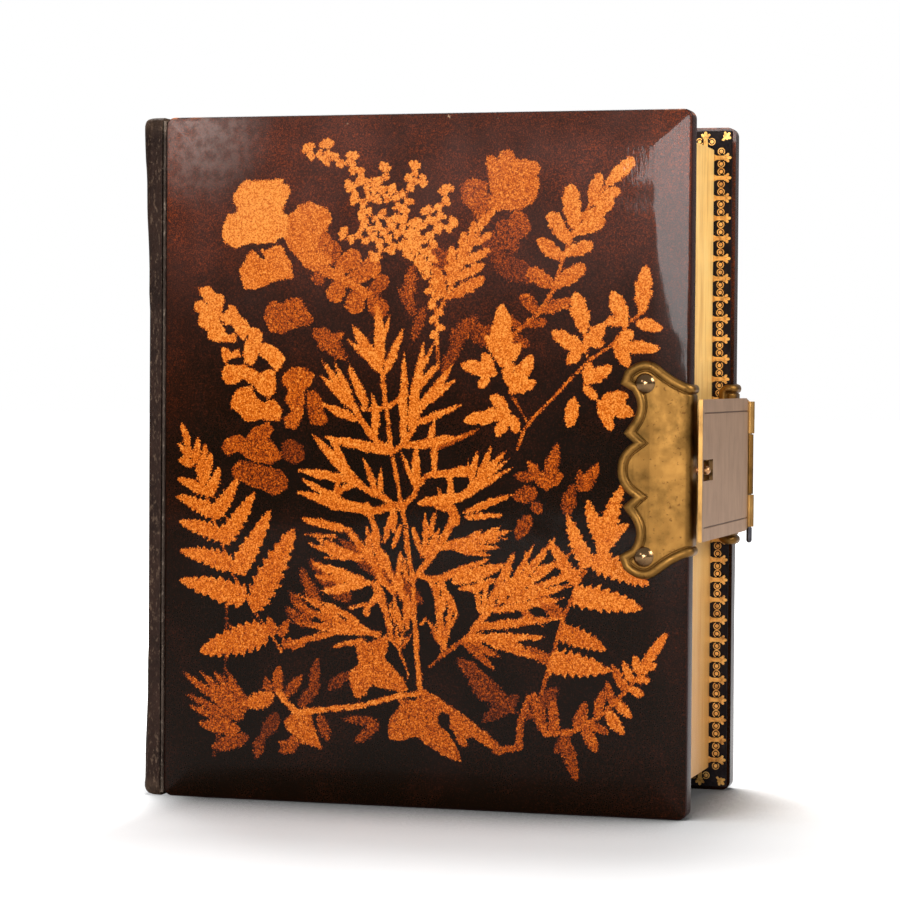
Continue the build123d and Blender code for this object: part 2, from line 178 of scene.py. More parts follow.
# ---- the camera, the floor and the lights ----
def photo_camera():
    camera = bpy.data.objects.new("camera", bpy.data.cameras.new("camera"))
    bpy.context.scene.collection.objects.link(camera)
    camera.data.sensor_width = 36.0
    camera.data.lens = 119.5
    camera.data.clip_end = 50
    camera.matrix_world = (
        Matrix.Translation((0.18957, -0.66634, 0.09696))
        @ Matrix.Rotation(radians(15.96), 4, "Z")
        @ Matrix.Rotation(radians(-1.45), 4, "X")
        @ Matrix.Rotation(radians(-0.41), 4, "Y")
        @ Matrix.Rotation(radians(90), 4, "X")
    )
    bpy.context.scene.camera = camera


def seen_rays(tree):
    """1 where the camera, or a ray through glass, looks straight at the backdrop, and else 0; and, apart, whether a ray
    is a mirror ray.
    """
    path = put(tree, "ShaderNodeLightPath").outputs
    seen = sums(tree, "MAXIMUM", path["Is Camera Ray"], path["Is Transmission Ray"])
    return seen, path["Is Glossy Ray"]


def white_floor():
    material, tree = new_finish("white_paper_floor")
    grain = noise(tree, place(tree), 40.0)
    shade = ramp(tree, grain, [(0.0, (0.80, 0.80, 0.80, 1)), (1.0, (0.84, 0.84, 0.84, 1))])
    # Near the album the floor's colour falls to dark grey by ambient occlusion: a painted contact shadow.
    under = put(tree, "ShaderNodeAmbientOcclusion", {"Distance": 0.06}, samples=8).outputs["AO"]
    clear_of_painted_shadow = spread(tree, under, 0.42, 0.86)
    matt = put(tree, "ShaderNodeBsdfDiffuse", {"Color": mixed(tree, clear_of_painted_shadow, (0.12, 0.12, 0.12, 1), shade)}).outputs[0]
    seen, glossy = seen_rays(tree)
    away = put(tree, "ShaderNodeVectorMath", {0: place(tree)}, operation="LENGTH").outputs["Value"]
    across = put(tree, "ShaderNodeSeparateXYZ", {"Vector": place(tree)}).outputs["X"]
    # Left of the spine the floor glows for the camera: painted light that hides the shadow the lamps cast there.
    painted_light_beside_spine = spread(tree, across, -0.068, -0.050, 0.6, 0.0)
    lift = sums(tree, "MAXIMUM", painted_light_beside_spine, spread(tree, away, 0.12, 0.40, 0.0, 0.95))
    strength = sums(tree, "MULTIPLY", seen, lift)
    glow = put(tree, "ShaderNodeEmission", {"Color": (1, 1, 1, 1), "Strength": strength}).outputs[0]
    both = put(tree, "ShaderNodeAddShader")
    tree.links.new(matt, both.inputs[0])
    tree.links.new(glow, both.inputs[1])
    put(tree, "ShaderNodeOutputMaterial", {"Surface": both.outputs[0]})
    bm = bmesh.new()
    bmesh.ops.create_grid(bm, x_segments=4, y_segments=4, size=6000)
    bmesh.ops.translate(bm, vec=(0, 0, -0.05), verts=bm.verts)
    mesh_object("floor", bm, material)


def studio_world():
    world = bpy.data.worlds.new("studio")
    bpy.context.scene.world = world
    world.use_nodes = True
    tree = world.node_tree
    tree.nodes.clear()
    seen, glossy = seen_rays(tree)
    direction = put(tree, "ShaderNodeTexCoord").outputs["Generated"]
    parts = put(tree, "ShaderNodeSeparateXYZ", {"Vector": direction}).outputs
    room = spread(tree, parts["Z"], -0.16, 0.35, 0.10, 0.46)
    soft = sums(tree, "ADD", 0.28, sums(tree, "MULTIPLY", glossy, sums(tree, "SUBTRACT", room, 0.28)))
    strength = sums(tree, "MAXIMUM", soft, seen)
    back = put(tree, "ShaderNodeBackground", {"Color": (1, 1, 1, 1), "Strength": strength}).outputs[0]
    put(tree, "ShaderNodeOutputWorld", {"Surface": back})


def softbox(name, spot, aim, width, height, watts, tilt=0.0):
    lamp = bpy.data.lights.new(name, "AREA")
    lamp.shape = "RECTANGLE"
    lamp.size, lamp.size_y = width, height
    lamp.energy = watts
    box = bpy.data.objects.new(name, lamp)
    bpy.context.scene.collection.objects.link(box)
    box.location = spot
    facing = (Vector(aim) - Vector(spot)).to_track_quat("-Z", "Y").to_matrix()
    box.rotation_euler = (facing @ Matrix.Rotation(radians(tilt), 3, "Z")).to_euler()
    return box


bpy.context.scene.view_settings.view_transform = "Standard"
photo_camera()
white_floor()
studio_world()


def placed_softbox(name, azimuth, elevation, distance, width, height, watts, tilt=0.0):
    """A softbox in front of the covers, by its direction from them: azimuth from straight ahead, positive to the right."""
    reach = distance * cos(radians(elevation))
    spot = (reach * sin(radians(azimuth)), -reach * cos(radians(azimuth)), 0.08 + distance * sin(radians(elevation)))
    return softbox(name, spot, (0, 0, 0.08), width, height, watts, tilt)


placed_softbox("upper_left", -30, 21, 1.3, 0.24, 0.26, 1.5)
placed_softbox("strip_right", 2.4, 7.8, 1.25, 0.52, 0.20, 8.6, tilt=-13.5)
softbox("top_back", (-0.18, 0.42, 0.95), (0, -0.04, 0.0), 0.5, 0.4, 12.0)
softbox("side_right", (0.9, -0.25, 0.60), (0.05, 0, 0.10), 0.4, 0.4, 8.5)


# ---- leaves laid on the covers ----
class LeafPrint:
    """Leaves that kept the spatter off a cover. Places are millimetres from its joint edge and its tail."""

    def __init__(self, columns, rows, seed):
        self.across = np.linspace(EDGE_ROUND, COVER_WIDTH - EDGE_ROUND, columns + 1)
        self.up = np.linspace(EDGE_ROUND, COVER_HEIGHT - EDGE_ROUND, rows + 1)
        self.inside = np.full((rows + 1, columns + 1), -1.0)
        self.tone = np.zeros((rows + 1, columns + 1))
        self.draw = np.random.default_rng(seed)
        u, v = np.meshgrid(self.across, self.up)
        self.wobble = np.zeros_like(u)
        for length in (1.3, 1.7, 2.3, 3.1, 4.3, 6.1):
            turn, start = self.draw.uniform(0, 2 * pi, 2)
            self.wobble += 0.05 * np.sin((u * cos(turn) + v * sin(turn)) * 2 * pi / length + start)

    def part(self, low_u, high_u, low_v, high_v):
        c0, c1 = np.searchsorted(self.across, (low_u - 1.2, high_u + 1.2))
        r0, r1 = np.searchsorted(self.up, (low_v - 1.2, high_v + 1.2))
        rows, columns = slice(r0, r1), slice(c0, c1)
        u, v = np.meshgrid(self.across[columns], self.up[rows])
        return (rows, columns), u, v

    def lay(self, where, inside, tone, soft):
        inside = np.clip((inside + self.wobble[where]) * soft, -1, 1)
        old, old_tone = self.inside[where], self.tone[where]
        both = (inside > 0) & (old > 0)
        tone = np.broadcast_to(tone, inside.shape)
        self.tone[where] = np.where(both, np.maximum(tone, old_tone), np.where(inside > old, tone, old_tone))
        self.inside[where] = np.maximum(inside, old)

    def leaflet(self, foot, tip, width, tone, base=0.55, point=0.75, teeth=0, depth=0.0, bow=0.0, soft=1.0):
        """One blade from its foot to its tip. base and point shape its ends: low is blunt, high is drawn out."""
        (fu, fv), (tu, tv) = foot, tip
        length = max(hypot(tu - fu, tv - fv), 0.01)
        reach = width / 2 + abs(bow)
        where, u, v = self.part(min(fu, tu) - reach, max(fu, tu) + reach, min(fv, tv) - reach, max(fv, tv) + reach)
        du, dv = (tu - fu) / length, (tv - fv) / length
        s = ((u - fu) * du + (v - fv) * dv) / length
        t = -(u - fu) * dv + (v - fv) * du
        t = t - bow * 4 * s * (1 - s)
        along = np.clip(s, 1e-4, 1 - 1e-4)
        peak = base / (base + point)
        swell = along**base * (1 - along) ** point / (peak**base * (1 - peak) ** point)
        if teeth:
            step = (teeth * s + np.where(t > 0, 0.0, 0.5)) % 1.0
            swell = swell * (1 - depth * (1 - step))
        inside = swell * width / 2 - np.abs(t)
        past = np.maximum(-s, s - 1) * length
        inside = np.where(past > 0, -np.hypot(past, t), inside)
        self.lay(where, inside, lerp(tone, tone * 1.04, along), soft)

    def stem(self, points, start_width, end_width, tone, soft=1.0):
        for index, ((au, av), (bu, bv)) in enumerate(zip(points, points[1:])):
            size = lerp(start_width, end_width, (index + 0.5) / (len(points) - 1)) / 2
            where, u, v = self.part(min(au, bu), max(au, bu), min(av, bv), max(av, bv))
            du, dv = bu - au, bv - av
            s = np.clip(((u - au) * du + (v - av) * dv) / (du * du + dv * dv), 0, 1)
            self.lay(where, size - np.hypot(u - au - s * du, v - av - s * dv), tone, soft)

    def lobe(self, middle, radius, tone, notches=3, soft=1.0):
        """A rounded lobe with a few shallow notches in its rim."""
        mu, mv = middle
        where, u, v = self.part(mu - radius, mu + radius, mv - radius, mv + radius)
        angle = np.arctan2(v - mv, u - mu)
        rim = radius * (1 + 0.09 * np.cos(notches * angle + self.draw.uniform(0, 6)))
        self.lay(where, rim - np.hypot(u - mu, v - mv), tone, soft)

    def outlined(self, leaves, soft=1.0):
        """Leaves that are given by their tone and their outline."""
        for tone, outline in leaves:
            us, vs = zip(*outline)
            where, u, v = self.part(min(us), max(us), min(vs), max(vs))
            gap, within = np.full(u.shape, 99.0), np.zeros(u.shape, bool)
            for (au, av), (bu, bv) in zip(outline, outline[1:] + outline[:1]):
                du, dv = bu - au, bv - av
                s = np.clip(((u - au) * du + (v - av) * dv) / (du * du + dv * dv), 0, 1)
                gap = np.minimum(gap, np.hypot(u - au - s * du, v - av - s * dv))
                within ^= ((av > v) != (bv > v)) & (u < au + (v - av) * du / (dv or 1e-9))
            self.lay(where, np.where(within, gap, -gap), tone, soft)

    def leaflets(self, rows, tone, slim=1.0, **shape):
        """Rows of foot, tip and width, and where a blade is brighter or duller than its leaf, its own tone."""
        for fu, fv, tu, tv, width, *own in rows:
            self.leaflet((fu, fv), (tu, tv), width * slim, own[0] if own else tone, **shape)

    def cut_pinna(self, foot, tip, tone, lobes=4, slant=38.0, fullness=1.0):
        """A finely cut side leaf: narrow pointed lobes on both sides, each with a smaller one on its outer side."""
        foot, tip = Vector(foot), Vector(tip)
        axis = tip - foot
        length = axis.length
        self.stem([foot, foot + axis * 0.5], 0.8, 0.9, tone * 0.97)
        self.leaflet(foot + axis * 0.25, tip, 0.085 * length + 0.7, tone, base=0.5, point=0.9)
        for index in range(lobes):
            at = 0.22 + 0.56 * index / (lobes - 1)
            root = foot + axis * at
            for side in (-1, 1):
                turn = side * radians(slant - 12 * at + self.draw.uniform(-5, 5))
                size = length * (0.56 - 0.40 * at) * fullness * self.draw.uniform(0.85, 1.12)
                heading = Matrix.Rotation(turn, 2) @ axis.normalized()
                end = root + heading * size
                self.leaflet(root, end, 0.09 * size + 0.95, tone, base=0.3, point=0.8)
                for part in (0.35, 0.6):
                    twig = root + heading * size * part
                    out = Matrix.Rotation(side * radians(30), 2) @ heading
                    self.leaflet(twig, twig + out * size * (0.55 - 0.3 * part), 0.9, tone, base=0.25, point=0.8)

    def sprig(self, points, tone, size=1.9, gap=1.7, soft=1.0):
        """A thin twig with small fan-shaped lobes on alternate sides, and three at its end."""
        self.stem(points, 0.75, 0.6, tone, soft)
        side, left = 1, gap * 0.6
        for (au, av), (bu, bv) in zip(points, points[1:]):
            step = Vector((bu - au, bv - av))
            length, heading = step.length, step.normalized()
            while left < length:
                root = Vector((au, av)) + heading * left
                for turn in (35, 68):
                    out = Matrix.Rotation(side * radians(turn), 2) @ heading
                    reach = size * self.draw.uniform(0.8, 1.15)
                    self.leaflet(root, root + out * reach, 0.62 * size, tone, base=0.9, point=0.3, soft=soft)
                side = -side
                left += gap
            left -= length
        for turn in (-38, 0, 38):
            out = Matrix.Rotation(radians(turn), 2) @ heading
            end = Vector(points[-1])
            self.leaflet(end - heading * 0.3, end + out * size, 0.62 * size, tone, base=0.9, point=0.3, soft=soft)


def front_leaves(pattern):
    """The spray on the front cover: ferns and small garden leaves round one finely cut leaf."""
    # Faint leaves that were laid down last
    pattern.leaflets([
        (90, 71.7, 92.6, 82, 3.6), (90, 72, 85.8, 78.2, 3), (90.4, 73, 94, 75.3, 3), (98.6, 71.5, 101.8, 77.8, 3),
        (87.3, 74.2, 82.8, 74.8, 2.6, .5), (88.2, 71.2, 82.4, 69.8, 4, .5), (86.9, 68.7, 89.2, 66.5, 3, .48),
        (86.5, 66.1, 83.3, 60.5, 3.6, .46), (98.2, 71.4, 97.6, 76.4, 2.4, .5), (94.8, 66, 96, 73, 3.5, .44),
    ], 0.6, teeth=3, depth=0.2, soft=0.7)
    pattern.leaflets([
        (20, 18.5, 4.8, 28.6, 2.6, .62), (20, 19, 9, 29.2, 2.2, .6), (20, 19.5, 12.4, 29.3, 2.2, .6),
        (20.5, 20, 15.8, 28.9, 2.8, .58), (19, 18, 5.6, 23.7, 2), (18, 17, 6.5, 21, 2.2), (19, 16, 8.8, 17, 3.6, .62),
        (21, 14.5, 12, 11.6, 4.2, .5), (24, 15, 22.8, 9.5, 3, .42), (27, 24, 19.5, 21.5, 4.6, .75),
        (27.5, 24.5, 28.3, 31, 3, .6), (26, 24, 25, 28, 2.5, .5), (30, 24, 33.8, 29, 2.6, .5),
        (36, 25, 37.5, 33, 2.6, .42), (33, 22, 38, 27, 3, .4), (28, 20, 24, 14, 4, .34), (40, 26, 45, 30, 3, .36),
    ], 0.55, teeth=6, depth=0.25, soft=0.7)
    pattern.leaflets([
        (52, 19, 43.2, 19.4, 2), (52, 18.5, 46.3, 14.2, 2.6), (37.9, 20.1, 40, 14.2, 2.6), (62, 46, 42, 60, 5, .42),
        (45, 46, 35.5, 55, 5, .42), (38, 44, 33, 53, 3, .5), (36, 41, 30.5, 48, 2.6, .5), (35, 40, 29.5, 44, 2.4, .48),
        (73, 30, 80, 24, 5, .36), (70, 34, 84, 22, 4, .4), (84, 26, 76, 20, 4, .34), (93, 28, 86, 21, 4, .4),
    ], 0.46, teeth=4, depth=0.2, soft=0.5)
    pattern.leaflets([
        (79, 131, 83, 124, 5, .36), (76, 128, 80, 121, 5, .34), (78, 122, 88, 118, 6, .3), (63, 124, 70, 120, 5, .4),
        (62, 112, 59, 104, 2.4, .42), (60, 110, 56, 116, 2.4, .42), (59, 121, 58, 112, 3, .5), (72, 108, 78, 103, 4, .4),
        (68, 104, 74, 110, 4, .42), (66, 97, 72, 108, 3, .4), (36, 107, 44, 100, 4.4, .5), (37, 103, 43, 106, 3.4, .55),
    ], 0.4, teeth=3, depth=0.2, soft=0.5)

    # An old crack in the varnish
    pattern.stem([(15.6, 47.6), (15.4, 34), (15, 22.6), (12.7, 9.9)], 0.6, 0.6, 0.4, soft=0.6)

    # Round-lobed leaf at the top left, with its trailing stem
    pattern.outlined([
        (0.97, [(19.7, 140.5), (22.6, 140.4), (24.9, 140.6), (28.4, 140.6), (28.6, 139.7), (29.9, 139), (30.4, 137.9),
               (29.8, 136.5), (28.9, 135.1), (28.6, 133.7), (28.8, 132.7), (30, 132.4), (29.8, 130.2), (29.6, 127.5),
               (27.8, 127.5), (26.8, 126.4), (23.9, 126.1), (20.7, 126.2), (18.9, 125.7), (17.5, 125.2),
               (15.9, 125.6), (14.7, 126.3), (14, 127.8), (14.1, 129.7), (14.7, 131.7), (15.4, 133), (16.4, 132.8),
               (17.3, 133.4), (17.4, 134.4), (16.6, 135.5), (16.7, 137.1), (17.8, 138.5), (18.1, 139.4)]),
        (0.8, [(30, 132.4), (31.3, 133.7), (32.5, 134.8), (34.9, 135.6), (37.1, 134.6), (38.8, 134.1), (40, 132.6),
               (40.3, 131.2), (39.3, 129.6), (37.7, 128.2), (36.6, 126.3), (37.4, 124.7), (40, 123.1), (40, 121.4),
               (34.9, 121.2), (33.1, 122), (31.4, 124.7), (29.6, 127.5), (29.5, 130.2)]),
        (0.82, [(21.3, 124.8), (22.3, 124), (23.9, 122.6), (24.3, 123.1), (23.2, 124.8), (25, 125), (26.8, 125.7),
               (28.2, 125.8), (29.2, 124.2), (30.5, 122), (31.1, 118.5), (29.1, 118.1), (26.8, 117.7), (24.5, 116.6),
               (21.6, 115.8), (19.6, 116), (18.4, 118.2), (18.2, 120.4), (19.5, 122.3), (20.4, 124.1)]),
        (0.56, [(26.6, 113.4), (28.3, 112.5), (30.3, 114.1), (33.2, 113.6), (34.4, 111.4), (36.2, 108.9),
               (34.9, 107.8), (32.1, 107.3), (28.6, 105.9), (25.7, 106.2), (24, 109.5), (24.8, 112.2)]),
    ])
    pattern.stem([(28.6, 130.5), (31.8, 125.5), (34.5, 122), (39, 120), (44, 117.6), (49, 114.5)], 3.4, 1.8, 0.74)
    pattern.leaflets([
        (33, 124, 40, 127.2, 6.4, .62), (38, 121, 41.2, 126.4, 5, .48), (41, 120, 46.8, 123.8, 4.4, .66),
        (44, 118, 51.4, 121.6, 4.4, .64), (38, 121, 36.4, 117, 3, .5), (43, 118, 40, 113.2, 4.2, .66),
        (47, 116, 45, 110.6, 4.6, .64), (49, 115, 53.3, 118.6, 3.6, .52), (49, 114.5, 52.6, 109.8, 4.4, .52),
    ], 0.6, base=0.5, point=0.3, soft=0.8)

    # Chain of rounded pinnae down the left
    pattern.outlined([
        (0.93, [(8.3, 116.3), (11.1, 116.5), (12.4, 115.1), (14.1, 114.8), (14.6, 113.3), (14, 110.6), (14.5, 110.3),
               (16.1, 112.6), (17.5, 111.9), (18.1, 110.3), (19.8, 109), (20.9, 107.1), (22.6, 107.3), (23.9, 106),
               (23.5, 103.7), (25.8, 103.5), (27.9, 102), (29.3, 100.4), (28.3, 98.4), (27.4, 97.2), (25.9, 98.7),
               (24.8, 100), (23.7, 100.4), (23, 101.7), (22.3, 100), (21.3, 98.5), (19.5, 99.3), (19.2, 101),
               (19.7, 103.7), (20.4, 105.6), (19.1, 104.3), (17.5, 106), (16.5, 107.6), (14.9, 107.8), (13.6, 109.6),
               (13.3, 108.9), (14.5, 107.3), (15.6, 105.3), (17, 106.1), (18, 103.8), (15.6, 104.1), (12.4, 103.8),
               (10.7, 104.8), (10.6, 106.3), (9.6, 106.8), (8.3, 107.9), (8.5, 110.3), (7.2, 111.3), (7.4, 112.9),
               (9.2, 113.4), (10.4, 112.6), (8.8, 114.8)]),
        (0.9, [(13.9, 102.5), (15.6, 102.6), (16.3, 101.6), (18.1, 102.5), (18.8, 100.7), (16.3, 100), (14.9, 99),
               (14.2, 100.3)]),
        (0.88, [(14.1, 98), (15.6, 99), (17.4, 98.7), (19.5, 98.8), (21.6, 98), (23.1, 97), (25.2, 97.9),
               (26.6, 97.4), (27.1, 95.1), (27.1, 92.4), (25.5, 91.4), (23.1, 92.4), (21.7, 94.4), (19.2, 95.4),
               (18.1, 94.7), (15.3, 94.2), (14.1, 95.7)]),
        (0.84, [(16.2, 91), (17.4, 93), (19.2, 93.9), (21.3, 93.7), (22.4, 91.4), (23.8, 90.4), (26.6, 91.1),
               (28.7, 88.5), (28, 86.2), (25.2, 86), (23.8, 86.8), (22.4, 86.1), (19.6, 85.9), (18.2, 88),
               (16.4, 89)]),
        (0.68, [(28.3, 96.1), (30.8, 98.3), (33.9, 98.4), (36.2, 96.6), (35.3, 94.2), (33.7, 93.2), (33.9, 90.5),
               (33.3, 86.9), (31.9, 84.4), (29.8, 84.7), (28.7, 86.8), (30.8, 88.5), (29.4, 91.1), (30.1, 93.5),
               (28.7, 94.4)]),
        (0.58, [(34.3, 92.8), (36.4, 93.5), (37.8, 91.2), (38.5, 88.6), (39.7, 86.9), (38.5, 85.1), (35.4, 85.6),
               (34.6, 88.9)]),
        (0.6, [(14, 80), (15, 82), (18.2, 83.1), (20, 82.1), (21.4, 84.4), (25.2, 85.8), (26.6, 84.5), (25.6, 82.2),
               (28.1, 79.2), (28.4, 77.6), (26, 76.2), (21.1, 77.1), (18.2, 79.1), (15.8, 78.2)]),
        (0.52, [(16.5, 75.7), (18.6, 77.4), (21.1, 76.5), (25.3, 75.9), (28.1, 75.2), (30.2, 72.9), (30.2, 71),
               (27.1, 69.2), (23.9, 70.5), (20, 71.8), (16.8, 73.7)]),
        (0.38, [(28.4, 81.2), (31.2, 82.2), (33.6, 80.6), (34, 77.6), (31.6, 76.3), (28.8, 77.9)]),
    ])

    # Fine sprig at the top
    for points in (
        [(64.9, 104), (64.7, 111.1), (62.8, 119.6), (59.2, 128.6), (56.5, 134.1), (51.5, 137.6), (47, 141.4),
         (43.4, 144.1), (39.6, 145.2)],
        [(40.5, 145), (38.8, 147.8)], [(40.5, 145), (37, 145.2), (34.9, 147)], [(46, 142.2), (45, 145)],
        [(50, 139), (46.5, 139.4), (44.8, 139.2)], [(52, 137.4), (48.5, 135.6), (46.2, 135.8)], [(51, 138), (52.4, 142.2)],
        [(57.5, 132), (57.4, 137), (59.2, 142.6)], [(57.4, 136.4), (55, 137.6)], [(58, 138.5), (60.6, 139.8)],
        [(58.6, 130), (53, 131.8), (48, 132.4)], [(60.2, 126), (56, 128.8), (50, 129.4), (48.6, 130)],
        [(62, 121.5), (58, 124.6), (52, 126.8), (46, 127.6), (43.6, 128)], [(55, 126), (50.6, 123.6)],
        [(63, 119), (63.4, 127), (65, 132.6), (66.8, 137.4)], [(64.2, 130), (62.6, 132.6)], [(64, 128.5), (67.6, 130.4)],
        [(62.8, 120), (59.8, 123), (57.6, 125)], [(61, 123), (60, 130)],
    ):
        pattern.sprig(points, 0.93)
    pattern.stem([(65.2, 98), (64.9, 104), (64.4, 112)], 0.7, 0.7, 0.6)

    # Broad-lobed sprig beside it
    pattern.leaflets([
        (66.5, 114, 64.2, 121, 4.4, .78), (68, 116.5, 68.3, 125.5, 4), (70, 120.5, 71, 128.8, 3.4),
        (72, 124, 73.3, 131, 2.8), (74, 128, 75.6, 132.5, 2), (66.8, 113.8, 76, 118.5, 4, .78),
        (68.8, 118, 75.8, 121.5, 3.4), (70.5, 121.5, 77, 124.5, 3.2), (72.5, 125.5, 77.3, 128.3, 2.6),
        (74.5, 129, 78, 133.6, 2.4),
    ], 0.84, slim=0.82, base=0.55, point=0.5, teeth=4, depth=0.4)
    pattern.stem([(65.6, 111.5), (69.5, 119.6), (72.1, 124.7), (75.1, 129.7)], 1.0, 0.8, 0.8)

    # Three-lobed leaf at the top
    pattern.outlined([
        (0.74, [(75.8, 143.7), (76.1, 145.1), (77.3, 145.6), (78.3, 144.5), (79, 144.2), (79, 145.6), (80.2, 146.6),
               (81.6, 146.3), (83.1, 144.4), (85.1, 144.4), (87.5, 143.8), (88.3, 142.3), (87.6, 141), (88.2, 138.8),
               (87.5, 136.5), (86.9, 134.9), (84.1, 133.5), (81.7, 133), (80, 133.5), (78.2, 133), (76.8, 134.1),
               (77, 137.5), (76.4, 140.3), (76.3, 142.3)]),
        (0.56, [(69.9, 139), (72.1, 140.1), (74.1, 140.1), (75.9, 139.5), (76.2, 136.9), (77.1, 134.7), (77.7, 133),
               (75.9, 130.7), (74.2, 130.8), (72.7, 133), (70.6, 135.3), (70.3, 137)]),
        (0.5, [(82.9, 133.5), (85.2, 132.1), (86.4, 129.6), (85.8, 128.2), (83, 126.3), (81.8, 127.9), (80.9, 130.7),
               (81.7, 132.4)]),
    ])

    # Frond at the top right
    pattern.leaflets([
        (103.2, 138.6, 109.3, 144.4, 3.2, .95), (99.5, 134.5, 101.8, 141, 3), (100, 134.5, 106.2, 137.6, 3),
        (96, 128.8, 95, 138.7, 4.4), (98, 131, 104.8, 134.7, 3), (94.8, 126, 90.3, 132.6, 3.8),
        (95.6, 128, 102.9, 130.9, 3.4), (93.4, 122.4, 87.8, 126.9, 3.4, .8), (93.5, 123.5, 100.3, 125.7, 3.3, .84),
        (91.6, 116.5, 85.5, 120, 3.8, .66), (91.8, 116.5, 98.5, 120.9, 3.8, .76), (88.2, 110.8, 84, 114.6, 3, .56),
        (88.5, 111, 95.4, 113.3, 3, .62), (84, 107.5, 79.8, 110, 2.6, .5), (84.5, 108, 90, 108.7, 2.4, .52),
        (80.5, 104.5, 76, 107.5, 3, .42), (82, 105, 86, 103.5, 2.6, .44),
    ], 0.86, slim=1.05, base=0.45, point=0.36, teeth=4, depth=0.26)
    pattern.stem([(106, 141.5), (100.6, 135.8), (96, 128.8), (93.4, 122.1), (91.3, 115.4), (87.9, 110.3), (82, 105.5)],
                 1.0, 0.8, 0.72)

    # Sprig of small toothed leaves on the right
    pattern.stem([(83.4, 80.4), (85.1, 85.1), (87.2, 87.7), (91.1, 91.5), (94.1, 94.8), (99.2, 99.9), (104.8, 103.7),
                  (108.6, 108.7), (111.1, 110.5)], 0.55, 0.6, 0.72)
    pattern.stem([(79.7, 98.5), (82, 92.6), (85.5, 87)], 0.6, 0.5, 0.66)
    pattern.stem([(98.5, 106.5), (98.9, 103), (99.2, 100)], 0.6, 0.5, 0.8)
    pattern.leaflets([
        (111.1, 110.3, 112.2, 121, 4.2), (109.9, 108.7, 116, 107.2, 3.2), (107.7, 107.4, 104.7, 115.5, 4.2),
        (107, 108.5, 103.2, 108.9, 2.8), (104.8, 103.7, 115.4, 102.8, 3.2), (106, 104, 109.5, 106.7, 3),
        (105.6, 104.1, 108.4, 98.9, 3.6), (98.5, 106.1, 96.4, 115.2, 4.4), (99, 102, 91.1, 106.6, 4),
        (98, 102.5, 94.5, 99.5, 3), (98.3, 103.2, 103.2, 108.2, 3.8), (99.5, 104, 103, 104, 2.4),
        (79.7, 98.5, 79.8, 112.6, 5.4), (79.8, 100, 84, 103.7, 3.8), (79.5, 100.5, 76.2, 106, 3),
        (78.9, 97.2, 70.3, 99.3, 3.8), (78, 97.4, 75.4, 101.8, 2.8), (77, 97, 74.5, 94, 2.6),
        (81.5, 92.6, 86.8, 101.3, 4.2), (82, 93.5, 87.7, 95.4, 3.2), (81.6, 94.5, 81.4, 100.2, 3.2),
        (98.4, 95.2, 104.8, 99, 3.6), (98.3, 94.6, 101.4, 91.8, 2.6), (98.6, 96, 100, 99.8, 2.4),
        (82, 88.9, 71, 86.6, 3.6), (81.6, 88.4, 78.6, 83.2, 3.2), (82.4, 88, 83.3, 84, 3), (81.1, 89.7, 77.2, 92.4, 3.2),
        (96.3, 92.2, 95.1, 85.5, 3.6), (101.9, 91.6, 104.9, 84.9, 3.4), (102.7, 91.6, 109.5, 88.3, 4.2),
        (102.3, 91.6, 108.6, 92.6, 3.6),
    ], 0.9, base=0.6, point=0.6, teeth=3, depth=0.24)

    # Bracken on the right, behind the lower part of the clasp
    pattern.stem([(89.5, 26.9), (92, 35.5), (94.1, 43.1), (97.5, 51.6), (102.2, 58.5), (104.3, 62.3)], 0.8, 0.6, 0.66)
    pattern.leaflets([
        (103.6, 60.8, 107.2, 73, 4.2), (103.4, 60, 99.4, 69.8, 3.8), (100, 55, 94.8, 66.6, 3.8), (102, 58, 109, 64.8, 3.2),
        (97.5, 51, 91, 60.8, 3.4, .86), (101, 56.5, 113.4, 51.3, 5.4), (96.4, 48.6, 112, 46, 5.6, .9),
        (93, 40.6, 104, 36.8, 4.6, .76), (91, 33.6, 104.8, 32.2, 5.8, .84), (94, 44, 88, 49, 3.4, .6),
        (91.5, 34, 86, 37, 3, .6),
    ], 0.9, slim=1.18, base=0.2, point=0.6, teeth=8, depth=0.42, bow=0.35)

    # Frond at the lower right
    pattern.stem([(117.3, 40.4), (113.1, 34.2), (108.4, 27.8), (102.5, 22.1), (96.5, 18.5), (90.4, 17.8)], 0.7, 1.2, 0.7)
    pattern.leaflets([
        (112, 33, 117.5, 41, 2.8), (111.5, 32, 110.2, 35.8, 2.4), (109.8, 30, 107.6, 34.6, 2.2), (108.5, 28, 105.2, 33.6, 2.6, .72),
        (111.5, 32, 115.4, 34.2, 2.2), (110.6, 30.6, 114, 30.6, 2.4), (109, 28.5, 112.6, 27.2, 2.4),
        (106.5, 25.5, 109.6, 22.1, 2.8), (104, 23.5, 108.1, 18.3, 3.2, .84), (99, 20, 102.1, 14.2, 3.2, .68),
        (102, 22, 103.3, 27.8, 2.8, .66), (97.5, 19, 99.4, 25.4, 3.2, .6), (94.4, 17.6, 97.6, 7.8, 3.6, .5),
        (92.5, 18, 92, 25.6, 3, .6), (90, 18, 87.6, 27, 3.2, .6), (96, 19, 92.5, 13.5, 3, .42), (99.6, 20.6, 104.6, 18.6, 2.6, .62),
        (105.6, 24.4, 104.2, 30, 2.4, .6),
    ], 0.86, base=0.35, point=0.55, teeth=6, depth=0.35, soft=0.9)

